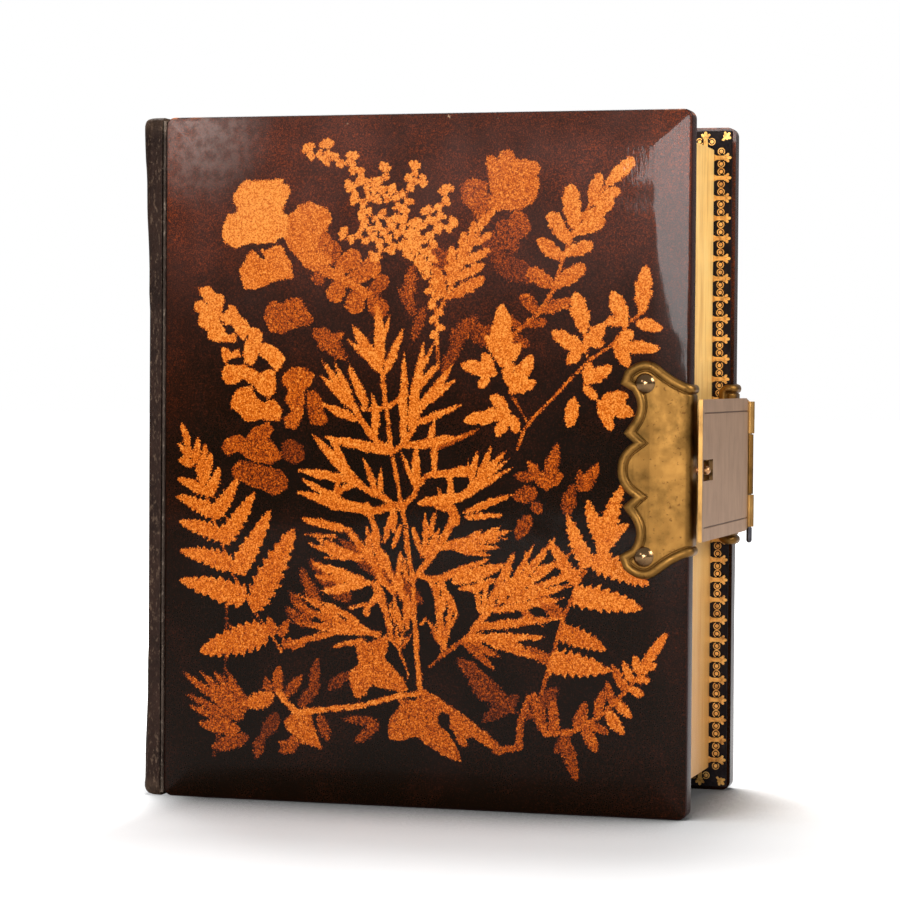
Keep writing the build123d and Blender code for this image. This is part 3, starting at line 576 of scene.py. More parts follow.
    # Cut leaf at the lower middle right
    pattern.stem([(66, 34), (71.8, 38.2), (77.5, 44.3), (80.5, 47)], 0.9, 0.8, 0.66)
    pattern.leaflets([
        (79.5, 46, 83.1, 58, 2), (80, 46.5, 87.6, 59.8, 2.2), (82, 48.5, 92.3, 61.2, 2.6), (83, 49, 96.6, 58.4, 2.6),
        (82, 47.5, 99.4, 54.7, 2.6), (81, 46.6, 96.6, 51, 2.4), (78, 44.6, 94.9, 48, 2.6), (74, 40.8, 94, 43.6, 2.8, .82),
        (86, 53, 85.4, 58, 1.4), (88, 54, 92.6, 55.4, 1.6), (84, 45.6, 90, 41.4, 1.8, .76), (72, 38.4, 90, 39.2, 3, .84),
        (76, 38.6, 88.8, 34.5, 3.2, .8), (72, 38, 80.3, 34.2, 2.4, .62), (71.5, 37.6, 79, 31.4, 2.4, .56),
        (80, 39, 86, 36.4, 2.2, .78),
    ], 0.86, slim=0.85, base=0.35, point=0.7, teeth=5, depth=0.3)

    # The finely cut leaf in the middle: its upper pinnae, then the lower ones that overlap
    for points, thick, thin, *own in (
        ([(56.7, 67.7), (56.0, 72.6), (54.4, 79.7), (53.6, 86.6), (53.0, 90.5), (52.6, 93.8), (52.1, 98.1)], 1.1, 1.3),
        ([(52.6, 89.8), (50.6, 88.5), (47.8, 89.2)], 1.3, 1.3),
        ([(53.5, 89.6), (55.7, 90.9), (57.0, 92.5)], 1.3, 1.5),
        ([(54.7, 79.4), (52.0, 81.2), (49.9, 83.0), (47.5, 86.2), (46.1, 88.5)], 1.7, 2.0),
        ([(54.9, 79.6), (57.1, 81.2), (59.2, 84.1), (60.2, 87.3), (60.5, 90.6)], 1.5, 2.0),
        ([(57.8, 81.1), (61.6, 81.5), (65.0, 82.2)], 2.0, 1.7),
        ([(56.7, 67.0), (52.8, 69.2), (48.6, 71.1), (45.2, 74.0), (42.4, 77.9), (40.9, 81.9)], 1.5, 2.2),
        ([(54.8, 67.3), (50.0, 66.2), (45.2, 67.4), (41.0, 67.4)], 2.0, 3.7),
        ([(57.2, 67.3), (59.9, 70.0), (60.5, 72.0), (62.6, 74.3), (64.7, 75.0)], 1.3, 1.5),
        ([(64.7, 74.7), (68.4, 75.0), (71.8, 75.1)], 1.8, 2.7),
        ([(65.1, 68.5), (68.5, 67.2), (69.5, 64.6)], 3.0, 3.0),
        ([(45.9, 72.4), (42.1, 70.7), (41.4, 67.4)], 1.7, 2.0),
        ([(42.0, 72.6), (41.0, 69.7)], 1.3, 1.3),
        ([(56.7, 68.8), (57.9, 63.0), (58.3, 58.1), (59.6, 51.2), (59.9, 46.0), (60.3, 39.4), (60.9, 32.9), (61.4, 27.0)], 1.3, 1.5),
        ([(48.7, 56.2), (51.5, 53.0), (52.9, 50.4), (55.0, 48.5)], 2.0, 2.0),
        ([(44.5, 61.7), (47.0, 58.8), (50.1, 54.9), (52.2, 51.0)], 2.2, 2.0),
        ([(60.1, 51.6), (61.9, 53.6), (63.8, 56.2), (65.8, 59.2), (67.8, 62.5), (68.8, 65.2)], 1.6, 2.3),
        ([(67.2, 58.9), (69.5, 59.6)], 2.0, 2.0),
        ([(61.9, 51.9), (63.8, 51.0), (65.2, 48.1), (65.6, 45.5)], 1.5, 1.7),
        ([(62.8, 51.6), (66.2, 51.4), (69.2, 52.8)], 1.7, 2.0),
        ([(66.6, 50.7), (65.2, 48.7), (65.6, 44.2), (66.3, 39.6), (67.0, 36.0)], 1.5, 1.9),
        ([(67.0, 35.1), (65.3, 33.0), (63.6, 31.7)], 0.8, 0.5, 0.55),
        ([(51.5, 50.3), (52.9, 45.8), (54.3, 40.9), (55.0, 37.3), (56.4, 36.0), (57.5, 33.1), (58.9, 29.5)], 1.7, 0.6, 0.8),
        ([(72.1, 37.8), (74.1, 40.8), (76.1, 43.5)], 1.7, 2.0, 0.8),
        ([(52.9, 44.5), (50.1, 50.3)], 1.3, 1.3),
        ([(45.4, 40.3), (48.8, 39.1), (51.6, 38.7)], 1.9, 1.7),
        ([(41.2, 39.5), (45.4, 41.3), (49.5, 39.1)], 1.9, 1.7),
    ):
        pattern.stem(points, thick * 0.8, thin * 0.8, own[0] if own else 0.84)
    pattern.stem([(61.4, 29), (60.6, 36), (60, 44)], 1.0, 1.1, 0.78)
    pattern.leaflets([
        (52.0, 98.1, 50.9, 113.1, 3.2), (52.5, 104.9, 53.9, 110.3, 1.3), (52.2, 97.1, 45.1, 107.8, 3.8),
        (51.2, 98.7, 43.7, 104.8, 2.1), (52.8, 97.1, 57.0, 107.1, 2.6), (46.8, 88.2, 37.5, 96.7, 2.8),
        (46.3, 88.5, 37.8, 100.2, 2.4), (45.7, 89.8, 40.8, 99.9, 1.9), (48.8, 89.3, 44.1, 99.1, 2.6),
        (51.3, 84.6, 49.8, 92.8, 2.1), (46.3, 86.5, 37.5, 90.4, 2.6), (51.0, 81.3, 49.9, 90.5, 1.7),
        (57.1, 81.4, 57.3, 102.0, 2.5), (57.4, 84.7, 56.4, 92.5, 2.0), (58.5, 84.7, 61.9, 104.2, 3.1),
        (59.8, 95.2, 64.4, 104.2, 1.5), (59.1, 92.6, 65.8, 99.7, 2.1), (59.8, 87.7, 68.6, 99.1, 2.8),
        (60.5, 89.3, 69.5, 96.0, 2.2), (59.8, 85.7, 70.9, 90.4, 2.2), (63.3, 81.3, 64.5, 87.1, 2.0),
        (58.8, 80.8, 70.5, 83.2, 2.8), (63.6, 79.9, 74.9, 85.0, 1.7, 0.6), (64.3, 83.1, 64.5, 74.3, 2.2),
        (54.7, 79.4, 38.7, 82.7, 3.1), (47.9, 70.8, 35.8, 83.3, 3.1), (45.2, 72.7, 40.6, 82.8, 2.0),
        (45.5, 73.0, 32.1, 75.2, 2.8), (44.5, 67.4, 32.6, 73.5, 2.2), (48.7, 66.2, 32.0, 70.3, 3.5),
        (51.4, 69.4, 47.8, 78.2, 2.0), (51.8, 69.4, 52.1, 76.3, 1.7), (49.5, 64.2, 49.0, 68.7, 1.5),
        (60.3, 71.3, 56.6, 79.8, 1.7), (60.5, 71.3, 60.0, 81.3, 2.5), (72.8, 73.2, 74.5, 80.5, 1.9),
        (73.5, 70.2, 77.7, 81.7, 2.2), (71.5, 70.5, 81.1, 80.2, 2.2), (74.8, 72.9, 82.0, 78.7, 1.3),
        (67.1, 67.8, 82.5, 76.6, 2.5), (66.4, 74.4, 73.5, 76.8, 2.3), (66.8, 67.8, 65.2, 72.1, 1.5),
        (71.2, 66.3, 83.3, 70.8, 2.1), (71.5, 65.3, 80.7, 66.0, 1.9), (67.7, 75.0, 68.8, 67.9, 2.0),
        (72.1, 75.1, 72.3, 78.4, 0.9), (60.6, 68.2, 73.5, 70.2, 3.2),
    ], 0.88, slim=0.76, base=0.5, point=0.75)
    pattern.leaflets([
        (44.5, 61.9, 32.8, 64.3, 2.6), (42.1, 60.3, 34.0, 60.7, 1.2), (36.2, 58.6, 34.8, 59.0, 0.7),
        (48.0, 54.9, 36.9, 59.9, 2.3), (45.6, 55.5, 35.2, 58.5, 1.9), (48.7, 56.2, 38.7, 55.6, 2.0),
        (48.8, 50.3, 35.9, 54.2, 3.0, 0.9), (48.1, 50.3, 36.3, 51.3, 2.3, 0.8),
        (50.1, 50.3, 38.0, 48.0, 2.7, 0.9), (45.3, 48.5, 38.4, 47.4, 1.3), (49.5, 42.7, 48.1, 44.3, 1.7),
        (52.2, 48.4, 48.5, 43.7, 2.0), (50.2, 45.7, 44.3, 44.2, 1.3, 0.8), (47.4, 41.3, 36.3, 46.3, 1.9),
        (45.7, 40.0, 32.8, 47.2, 1.9, 0.8), (46.1, 39.0, 31.4, 45.2, 2.0, 0.7), (51.6, 39.0, 37.1, 39.1, 1.9),
        (47.5, 39.0, 30.8, 40.9, 2.0, 0.7), (42.3, 38.9, 30.8, 35.9, 2.0, 0.75),
        (48.8, 37.4, 40.9, 35.5, 1.7, 0.85), (47.5, 37.7, 47.1, 36.9, 1.3), (54.9, 61.3, 55.5, 66.9, 1.7),
        (52.8, 58.9, 55.0, 67.0, 2.0), (54.9, 58.0, 56.9, 63.6, 1.7), (50.1, 54.6, 48.7, 63.1, 2.0),
        (51.8, 58.9, 49.3, 66.7, 2.0), (52.9, 53.3, 50.1, 61.8, 2.8), (54.9, 50.4, 52.8, 57.9, 2.0),
        (55.6, 48.5, 57.0, 58.0, 1.9, 0.85), (57.0, 45.9, 56.3, 55.1, 1.7, 0.85),
        (58.4, 50.5, 57.3, 56.4, 1.3, 0.85), (52.6, 43.8, 51.5, 50.3, 1.5),
        (55.0, 39.3, 52.2, 46.1, 1.5, 0.85), (55.7, 40.6, 54.3, 45.8, 1.3, 0.85),
        (57.1, 39.3, 55.0, 47.8, 1.9, 0.85), (58.5, 39.4, 57.7, 49.2, 2.0, 0.8),
        (59.5, 42.0, 58.4, 48.6, 1.3, 0.8), (61.9, 55.9, 59.5, 63.0, 1.8), (62.6, 55.9, 62.4, 66.0, 1.9),
        (62.8, 56.2, 65.9, 63.1, 1.9), (63.4, 60.5, 64.7, 66.4, 1.7), (65.5, 58.2, 82.3, 62.5, 3.1),
        (73.3, 60.4, 79.8, 63.3, 1.3), (71.2, 59.0, 75.6, 62.7, 2.0), (67.2, 58.6, 80.3, 58.7, 2.0),
        (68.5, 58.3, 77.7, 56.9, 1.9), (76.3, 59.8, 81.7, 60.9, 1.0, 0.8), (64.5, 51.0, 77.5, 56.2, 2.3),
        (68.6, 50.8, 81.0, 55.0, 4.0, 0.88), (73.0, 49.0, 78.7, 51.7, 2.7, 0.9), (70.3, 49.5, 75.0, 49.7, 2.0),
        (65.9, 50.7, 69.7, 44.3, 1.7), (69.9, 52.1, 71.9, 54.8, 1.7), (66.6, 50.1, 70.3, 43.0, 2.3, 0.85),
        (66.3, 43.5, 67.2, 50.8, 2.3, 0.85), (67.3, 37.0, 68.6, 46.2, 1.9, 0.8),
        (67.0, 36.4, 63.9, 41.8, 1.3, 0.75), (66.0, 37.6, 70.0, 43.6, 2.0, 0.8),
        (75.4, 43.8, 74.3, 49.6, 1.9, 0.9), (75.7, 43.8, 76.7, 51.0, 1.9, 0.9), (76.4, 43.8, 83.0, 58.0, 2.3),
        (75.4, 42.5, 78.8, 46.5, 1.7, 0.85), (56.2, 36.0, 55.7, 40.6, 1.3, 0.8),
        (56.4, 35.7, 57.8, 40.0, 1.2, 0.8), (56.9, 35.4, 59.5, 39.4, 1.2, 0.75),
        (55.0, 37.3, 53.3, 41.8, 1.2, 0.8), (61.2, 40.8, 63.0, 42.8, 1.0, 0.8),
        (63.0, 42.5, 64.6, 39.6, 0.9, 0.8), (63.9, 40.5, 66.7, 36.0, 1.3, 0.75),
    ], 0.84, slim=0.76, base=0.5, point=0.7)

    # Bracken frond at the left
    pattern.stem([(4.4, 84.6), (10.1, 70.3), (11.9, 64.7), (14.3, 58.6), (16.2, 52.6), (21.8, 43.6), (28.7, 34.2)],
                 0.8, 0.6, 0.74)
    pattern.leaflets([
        (5.8, 80.4, 4.2, 85.4, 2), (6.3, 77.5, 3.3, 80.8, 2), (7.2, 76, 3.3, 77, 2.2), (10.3, 69.8, 3.1, 72.8, 2.8),
        (11.9, 65, 3, 68.8, 3.4), (14, 60, 3.4, 63, 3.8), (16.5, 53.6, 3.8, 56.3, 4.4), (20, 46, 3.9, 49.6, 5.6),
        (7.5, 76.5, 8.4, 82.4, 2), (8.5, 74, 10.2, 81, 2.2), (9.3, 72, 11.7, 78.8, 2.6), (10.5, 69, 13.7, 75.7, 3),
        (12.2, 64.2, 18.1, 73.2, 3.6), (14.3, 58.6, 22.1, 70, 4.2), (17.6, 51.7, 26, 66.2, 4.8),
    ], 0.84, slim=1.22, base=0.16, point=0.62, teeth=8, depth=0.42, bow=-0.3)
    pattern.leaflets([
        (21.8, 43.6, 31.6, 62, 6.2), (25.5, 38.6, 9.2, 33.4, 6.8), (27, 37.8, 25.4, 41.8, 2.6, .68),
        (28.7, 36, 34.4, 35.8, 2.6, .64), (28.4, 37.4, 30.4, 41.4, 2.2, .6),
    ], 0.78, slim=1.2, base=0.28, point=0.6, teeth=9, depth=0.42)

    # Ivy leaves at the foot, and their stem
    pattern.outlined([
        (0.76, [(46.3, 36.4), (46.8, 37.4), (47.7, 36.9), (50, 37), (51.9, 37.6), (53.4, 38.6), (54.3, 37.9),
               (54.1, 36.4), (53.8, 34.8), (53.2, 33.6), (53.7, 32.4), (55.6, 31.1), (57.5, 29.1), (58.7, 26.5),
               (57.8, 26), (54.6, 26.2), (52.5, 26.7), (50.1, 27.1), (49.3, 26.5), (48.9, 25), (47.3, 24.1),
               (46, 24.6), (45.1, 26.9), (44.9, 29.5), (45.9, 30.9), (47.1, 31.6), (46.9, 33.9), (46.4, 35.2)]),
        (0.7, [(61.1, 26.5), (61.9, 27), (63.6, 26.1), (65.8, 25), (68.9, 23.1), (71.6, 21.3), (74.4, 19.4),
               (77.1, 17.3), (79.8, 15.4), (79.1, 13.4), (76.8, 14.6), (74, 16.3), (72, 16.1), (72.7, 14.1),
               (71.4, 14.4), (69.7, 15.8), (69.8, 16.6), (68.4, 18.9), (68.7, 20.5), (68.1, 21.4), (65.9, 21.6),
               (65.7, 20.1), (66.2, 18.5), (68.1, 17.2), (69.5, 15), (71.2, 11), (68.7, 11.3), (64.9, 13.2),
               (62.9, 14.5), (61.5, 15.8), (59.1, 15.7), (56.7, 14.8), (54.6, 15.2), (54.1, 16.7), (54.3, 19.6),
               (56, 21.7), (57, 23), (56.3, 24), (59.4, 24.4), (60.4, 24.1)]),
        (0.76, [(29.3, 18.3), (30.7, 19.7), (32.2, 20.3), (33.6, 21.2), (36.2, 21.1), (35.9, 19.3), (36.6, 17.3),
               (37.5, 15.3), (38.7, 12.1), (36.3, 12.8), (34.9, 13.4), (33.5, 13.5), (31.4, 15.3), (30, 16.9)]),
        (0.55, [(33.5, 13.7), (31.8, 11.1), (27.9, 11), (28.8, 12.3), (28.1, 13.8), (30.4, 14.2), (31.4, 15.3)]),
    ])
    pattern.stem([(28, 25), (30, 22.6), (32.6, 20.4), (38.3, 21.2), (47.4, 22.4), (56.3, 25), (61, 25.6)], 1.5, 1.1, 0.88)
    pattern.stem([(79, 13.6), (84.4, 14.6), (84.6, 20), (86.6, 25.6)], 1.5, 1.6, 0.6, soft=0.8)


def back_leaves(pattern):
    """The back cover has a plainer spray of the same leaves."""
    middle = COVER_WIDTH / 2
    tone = 0.9
    pattern.stem([(middle + 4, 22), (middle + 1, 50), (middle - 2, 80), (middle - 4, 118)], 1.2, 0.9, 0.8)
    pattern.leaflets([(middle - 3.6, 112, middle - 5, 132, 5.4), (middle - 3, 108, middle - 13, 124, 4.4),
                      (middle - 3, 108, middle + 6, 122, 4.2)], tone, base=0.5, point=0.7, teeth=5, depth=0.15)
    for index, (height, reach) in enumerate(((100, 20), (86, 26), (71, 31), (55, 32), (40, 27))):
        root = lerp(middle + 3, middle - 3, (height - 22) / 90)
        for side in (-1, 1):
            pattern.cut_pinna((root, height), (root + side * reach, height + 9 - index), tone - 0.02 * index,
                              lobes=5, fullness=1.0)
    for side in (-1, 1):
        points = [(middle + side * 8, 24), (middle + side * 26, 36), (middle + side * 38, 58), (middle + side * 42, 84)]
        pattern.stem(points, 0.9, 0.6, 0.7)
        for index in range(12):
            part = index / 12 * (len(points) - 1.001)
            a, b = points[int(part)], points[int(part) + 1]
            spot = Vector(a).lerp(Vector(b), part % 1)
            heading = (Vector(b) - Vector(a)).normalized()
            for turn in (-1, 1):
                out = Matrix.Rotation(turn * radians(58), 2) @ heading
                pattern.leaflet(spot, spot + out * (13 - 0.75 * index), 3.6 - 0.15 * index, 0.78 - 0.02 * index,
                                base=0.35, point=0.45, teeth=6, depth=0.22)
        for index in range(7):
            pattern.lobe((middle + side * (14 + 3.6 * index), 126 - 2.4 * abs(index - 3) + 4 * (index % 2)), 3.4 - 0.2 * index,
                         0.7 - 0.04 * index, soft=0.8)
    pattern.sprig([(middle - 12, 104), (middle - 20, 120), (middle - 22, 138)], 0.8, size=2.4, gap=2.2)
    pattern.sprig([(middle + 8, 104), (middle + 18, 120), (middle + 22, 138)], 0.8, size=2.4, gap=2.2)
    pattern.leaflets([
        (middle + 2, 22, middle - 16, 14, 8), (middle + 4, 22, middle + 20, 13, 8), (middle + 3, 24, middle - 5, 10, 7),
        (middle + 4, 24, middle + 11, 10, 7),
    ], 0.88, base=0.4, point=0.4)


# ---- varnished boards ----
def cushion(u, v):
    """How far the outer face falls towards the edges of a cover."""
    inset = min(u, COVER_WIDTH - u, v, COVER_HEIGHT - v)
    return BEVEL_DROP * max(0.0, 1 - inset / BEVEL_WIDTH) ** 1.5


def rounded_corner(u, v):
    """Draws a place in the square corner of the face in to the round corner of the board."""
    radius = CORNER_RADIUS - EDGE_ROUND
    cu = min(max(u, EDGE_ROUND + radius), COVER_WIDTH - EDGE_ROUND - radius)
    cv = min(max(v, EDGE_ROUND + radius), COVER_HEIGHT - EDGE_ROUND - radius)
    a, b = (u - cu) / radius, (v - cv) / radius
    return cu + radius * a * (1 - b * b / 2) ** 0.5, cv + radius * b * (1 - a * a / 2) ** 0.5


def outward(u, v):
    cu = min(max(u, CORNER_RADIUS), COVER_WIDTH - CORNER_RADIUS)
    cv = min(max(v, CORNER_RADIUS), COVER_HEIGHT - CORNER_RADIUS)
    return Vector((u - cu, v - cv)).normalized()


def cover_board(name, side, columns, rows, draw_leaves, material, seed):
    """A board with cushioned margins. Its face is fine enough to hold the outlines of the leaves."""
    pattern = LeafPrint(columns, rows, seed)
    draw_leaves(pattern)
    bm = bmesh.new()
    bmesh.ops.create_grid(bm, x_segments=columns, y_segments=rows, size=1)
    inside_layer = bm.verts.layers.float.new("leaf_inside")
    tone_layer = bm.verts.layers.float.new("leaf_tone")
    for vert in bm.verts:
        column = round((vert.co.x + 1) / 2 * columns)
        row = round((vert.co.y + 1) / 2 * rows)
        vert[inside_layer] = pattern.inside[row, column]
        vert[tone_layer] = pattern.tone[row, column]
        u, v = rounded_corner(pattern.across[column], pattern.up[row])
        vert.co = (JOINT_X + u, -(BOARD_OUTER_Y - cushion(u, v)), v)
    rim = [edge for edge in bm.edges if edge.is_boundary]
    steps = 3
    walls = [(EDGE_ROUND * (sin(pi / 2 * (i + 1) / steps) - sin(pi / 2 * i / steps)),
              EDGE_ROUND * (cos(pi / 2 * i / steps) - cos(pi / 2 * (i + 1) / steps))) for i in range(steps)]
    for out, back in walls + [(0.0, None)]:
        made = bmesh.ops.extrude_edge_only(bm, edges=rim)["geom"]
        rim = [item for item in made if isinstance(item, bmesh.types.BMEdge) and item.is_boundary]
        for vert in (item for item in made if isinstance(item, bmesh.types.BMVert)):
            push = outward(vert.co.x - JOINT_X, vert.co.z) * out
            y = -BOARD_INNER_Y if back is None else vert.co.y + back
            vert.co = (vert.co.x + push.x, y, vert.co.z + push.y)
    bmesh.ops.edgeloop_fill(bm, edges=rim)
    if side > 0:
        bmesh.ops.scale(bm, vec=(1, -1, 1), verts=bm.verts)
    bmesh.ops.recalc_face_normals(bm, faces=bm.faces)
    return mesh_object(name, bm, material, 50)


def fern_varnish():
    """Spatter work under varnish: dark stain on pale wood, kept off by the leaves, in fine specks."""
    material, tree = new_finish("fern_spatter_varnish")
    at = place(tree)
    inside = put(tree, "ShaderNodeAttribute", attribute_name="leaf_inside").outputs["Fac"]
    tone = put(tree, "ShaderNodeAttribute", attribute_name="leaf_tone").outputs["Fac"]
    fine = noise(tree, at, 3600.0, 1.0, 0.6)
    coarse = noise(tree, at, 1500.0, 2.0, 0.6)
    grain = sums(tree, "ADD", sums(tree, "MULTIPLY", fine, 0.7), sums(tree, "MULTIPLY", coarse, 0.3))
    edge = sums(tree, "ADD", inside, sums(tree, "MULTIPLY", sums(tree, "SUBTRACT", fine, 0.5), 0.9))
    mask = spread(tree, edge, -0.2, 0.2)
    parts = put(tree, "ShaderNodeSeparateXYZ", {"Vector": at}).outputs
    from_middle = sums(tree, "ABSOLUTE", parts["X"], 0.0)
    # The ground and the leaves are made lighter towards the top: painted gloss of the varnish.
    upper = spread(tree, parts["Z"], 0.06, 0.15, 0.0, 0.2)
    rim = spread(tree, from_middle, 0.046, 0.060, 0.0, 0.05)
    cloud = spread(tree, noise(tree, at, 60.0, 3.0), 0.35, 0.7, -0.04, 0.05)
    ground = sums(tree, "ADD", sums(tree, "ADD", upper, rim), cloud)
    bright = sums(tree, "ADD", sums(tree, "MULTIPLY", tone, 0.86), sums(tree, "MULTIPLY", upper, 0.35))
    level = sums(tree, "ADD", ground, sums(tree, "MULTIPLY", mask, sums(tree, "SUBTRACT", bright, ground)))
    dull = spread(tree, level, 0.1, 0.45, 0.8, 2.0)
    contrast = sums(tree, "MULTIPLY", dull, spread(tree, level, 0.5, 0.85, 1.0, 0.8))
    speck = sums(tree, "MULTIPLY", sums(tree, "SUBTRACT", grain, 0.5), contrast)
    depth = sums(tree, "ADD", level, speck, clamp=True)
    shade = ramp(tree, depth, [
        (0.0, colour(15, 6, 1)), (0.16, colour(40, 16, 6)), (0.36, colour(92, 34, 8)), (0.56, colour(148, 60, 8)),
        (0.78, colour(194, 96, 18)), (1.0, colour(226, 142, 60)),
    ])
    sideways = sums(tree, "ABSOLUTE", sums(tree, "SUBTRACT", parts["X"], 0.000175), 0.0)
    upright = sums(tree, "ABSOLUTE", sums(tree, "SUBTRACT", parts["Z"], 0.0775), 0.0)
    near_rim = sums(tree, "MAXIMUM", spread(tree, sideways, 0.0604, 0.0609), spread(tree, upright, 0.0769, 0.0774))
    near_corner = sums(tree, "MULTIPLY", spread(tree, sideways, 0.050, 0.060), spread(tree, upright, 0.066, 0.076))
    wear = sums(tree, "MULTIPLY", near_rim, spread(tree, noise(tree, at, 260.0, 4.0), 0.42, 0.62))
    rubbed = sums(tree, "MULTIPLY", sums(tree, "MULTIPLY", wear, near_corner), spread(tree, parts["Z"], 0.1534, 0.1544))
    chip_zone = spread(tree, parts["Z"], 0.1517, 0.1543)
    # Mauve-grey mixed over the upper part of the board: a painted reflection in the varnish.
    painted_top_reflection = sums(tree, "MULTIPLY", spread(tree, parts["Z"], 0.085, 0.150, 0.0, 0.12),
                spread(tree, noise(tree, at, 70.0, 3.0), 0.3, 0.7, 0.55, 1.0))
    shade = mixed(tree, painted_top_reflection, shade, colour(152, 112, 104))
    # A pale patch round the top corner next to the joint: a painted highlight on the varnish.
    spot = put(tree, "ShaderNodeVectorMath", {0: at, 1: (1.0, 0.0, 1.0)}, operation="MULTIPLY").outputs["Vector"]
    far = put(tree, "ShaderNodeVectorMath", {0: spot, 1: (-0.054, 0.0, 0.1535)}, operation="DISTANCE").outputs["Value"]
    painted_corner_highlight = sums(tree, "MULTIPLY", spread(tree, far, 0.001, 0.022, 0.26, 0.0),
                spread(tree, noise(tree, at, 420.0, 4.0, 0.6), 0.35, 0.65, 0.4, 1.0))
    shade = mixed(tree, painted_corner_highlight, shade, colour(196, 174, 166))
    chips = sums(tree, "MULTIPLY", chip_zone, spread(tree, noise(tree, at, 520.0, 3.0, 0.6), 0.68, 0.72))
    shade = mixed(tree, sums(tree, "MULTIPLY", chips, 0.7), shade, colour(178, 150, 120))
    facing = put(tree, "ShaderNodeSeparateXYZ", {"Vector": put(tree, "ShaderNodeTexCoord").outputs["Normal"]}).outputs
    edge_face = spread(tree, sums(tree, "ABSOLUTE", facing["Y"], 0.0), 0.80, 0.925, 0.94, 0.0)
    shade = mixed(tree, edge_face, shade, ramp(tree, grain, [(0.3, colour(26, 16, 16)), (0.7, colour(52, 34, 32))]))
    shade = mixed(tree, rubbed, shade, colour(196, 118, 76))
    ripple = noise(tree, at, 30.0, 2.0)
    pores = noise(tree, place(tree, (1, 1, 0.2)), 1200.0, 2.0)
    normal = bumped(tree, pores, 0.03, 0.0002, bumped(tree, ripple, 0.15, 0.0012))
    gloss = spread(tree, noise(tree, at, 90.0, 4.0), 0.3, 0.75, 0.22, 0.32)
    surface(tree, {
        "Base Color": shade, "Roughness": gloss, "Specular IOR Level": 0.02, "Normal": normal,
        "Coat Weight": 0.16, "Coat Roughness": 0.04, "Coat IOR": 1.45, "Coat Normal": normal,
    })
    return material


varnish = fern_varnish()
front_board = cover_board("front_board_fern_work", -1, 258, 330, front_leaves, varnish, 11)
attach(front_board, "front_cover")
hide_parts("front_board")
back_board = cover_board("back_board_fern_work", 1, 190, 240, back_leaves, varnish, 12)
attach(back_board, "case")
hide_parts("back_board")


# ---- stamped clasp plates ----
ROLL = 1.2
FLANGE = 3.3
EDGE_HALF = 18.7
FLANGE_CORNER = 2.4


def through(a, middle, b, steps):
    """Points on the smooth curve from a through middle to b, without b."""
    points = []
    for index in range(steps):
        t = index / steps
        wa, wm, wb = (1 - t) * (1 - 2 * t), 4 * t * (1 - t), t * (2 * t - 1)
        points.append((wa * a[0] + wm * middle[0] + wb * b[0], wa * a[1] + wm * middle[1] + wb * b[1]))
    return points


def plate_line():
    """Where the underside of a plate lies across the cover: its run, its place, and the way it faces."""
    face_tilt = 0.18
    start = ROLL * (1 - face_tilt)
    spots = [(-reach, FORE_EDGE_X - reach, BOARD_OUTER_Y - cushion(reach, MID_Z))
             for reach in np.linspace(16.5, start, 32)]
    run, centre_x = -start, FORE_EDGE_X - ROLL
    high_y = spots[-1][2] - ROLL * (1 - face_tilt**2) ** 0.5
    low_y = BOARD_INNER_Y - 0.6 + ROLL
    for angle in np.linspace(face_tilt, pi / 2, 9)[1:]:
        spots.append((run + ROLL * (angle - face_tilt), centre_x + ROLL * sin(angle), high_y + ROLL * cos(angle)))
    run = spots[-1][0] + high_y - low_y
    for angle in np.linspace(0, pi / 2, 9):
        spots.append((run + ROLL * angle, centre_x + ROLL * cos(angle), low_y - ROLL * sin(angle)))
    spots.append((spots[-1][0] + FLANGE - ROLL, FORE_EDGE_X - FLANGE, low_y - ROLL))
    return spots


def plate_outline(end):
    """Half of the outline: from the end of the flange, round the ears, to the lobe at mid height."""
    corner = [(end - FLANGE_CORNER * (1 - sin(a)), EDGE_HALF - FLANGE_CORNER * (1 - cos(a)))
              for a in np.linspace(pi / 2, 0, 7)]
    edge, shoulder, crown, ear = (0, EDGE_HALF), (-6.5, 22.6), (-10.2, 23.8), (-14.3, 21.6)
    tip, neck, waist, flank = (-15.3, 18.7), (-12.6, 17.2), (-11.5, 13.8), (-12.8, 10.4)
    thorn, notch, lobe = (-14.6, 8.0), (-12.4, 6.0), (-15.8, 0.0)
    sag = (-3.25, (EDGE_HALF + 22.6) / 2 - 0.4)
    swell = (-15.0, 3.3)
    return (corner + through(edge, sag, shoulder, 8) + through(shoulder, crown, ear, 10) + [ear]
            + [tip] + through(neck, waist, flank, 8) + [flank, thorn]
            + through(notch, swell, lobe, 8))


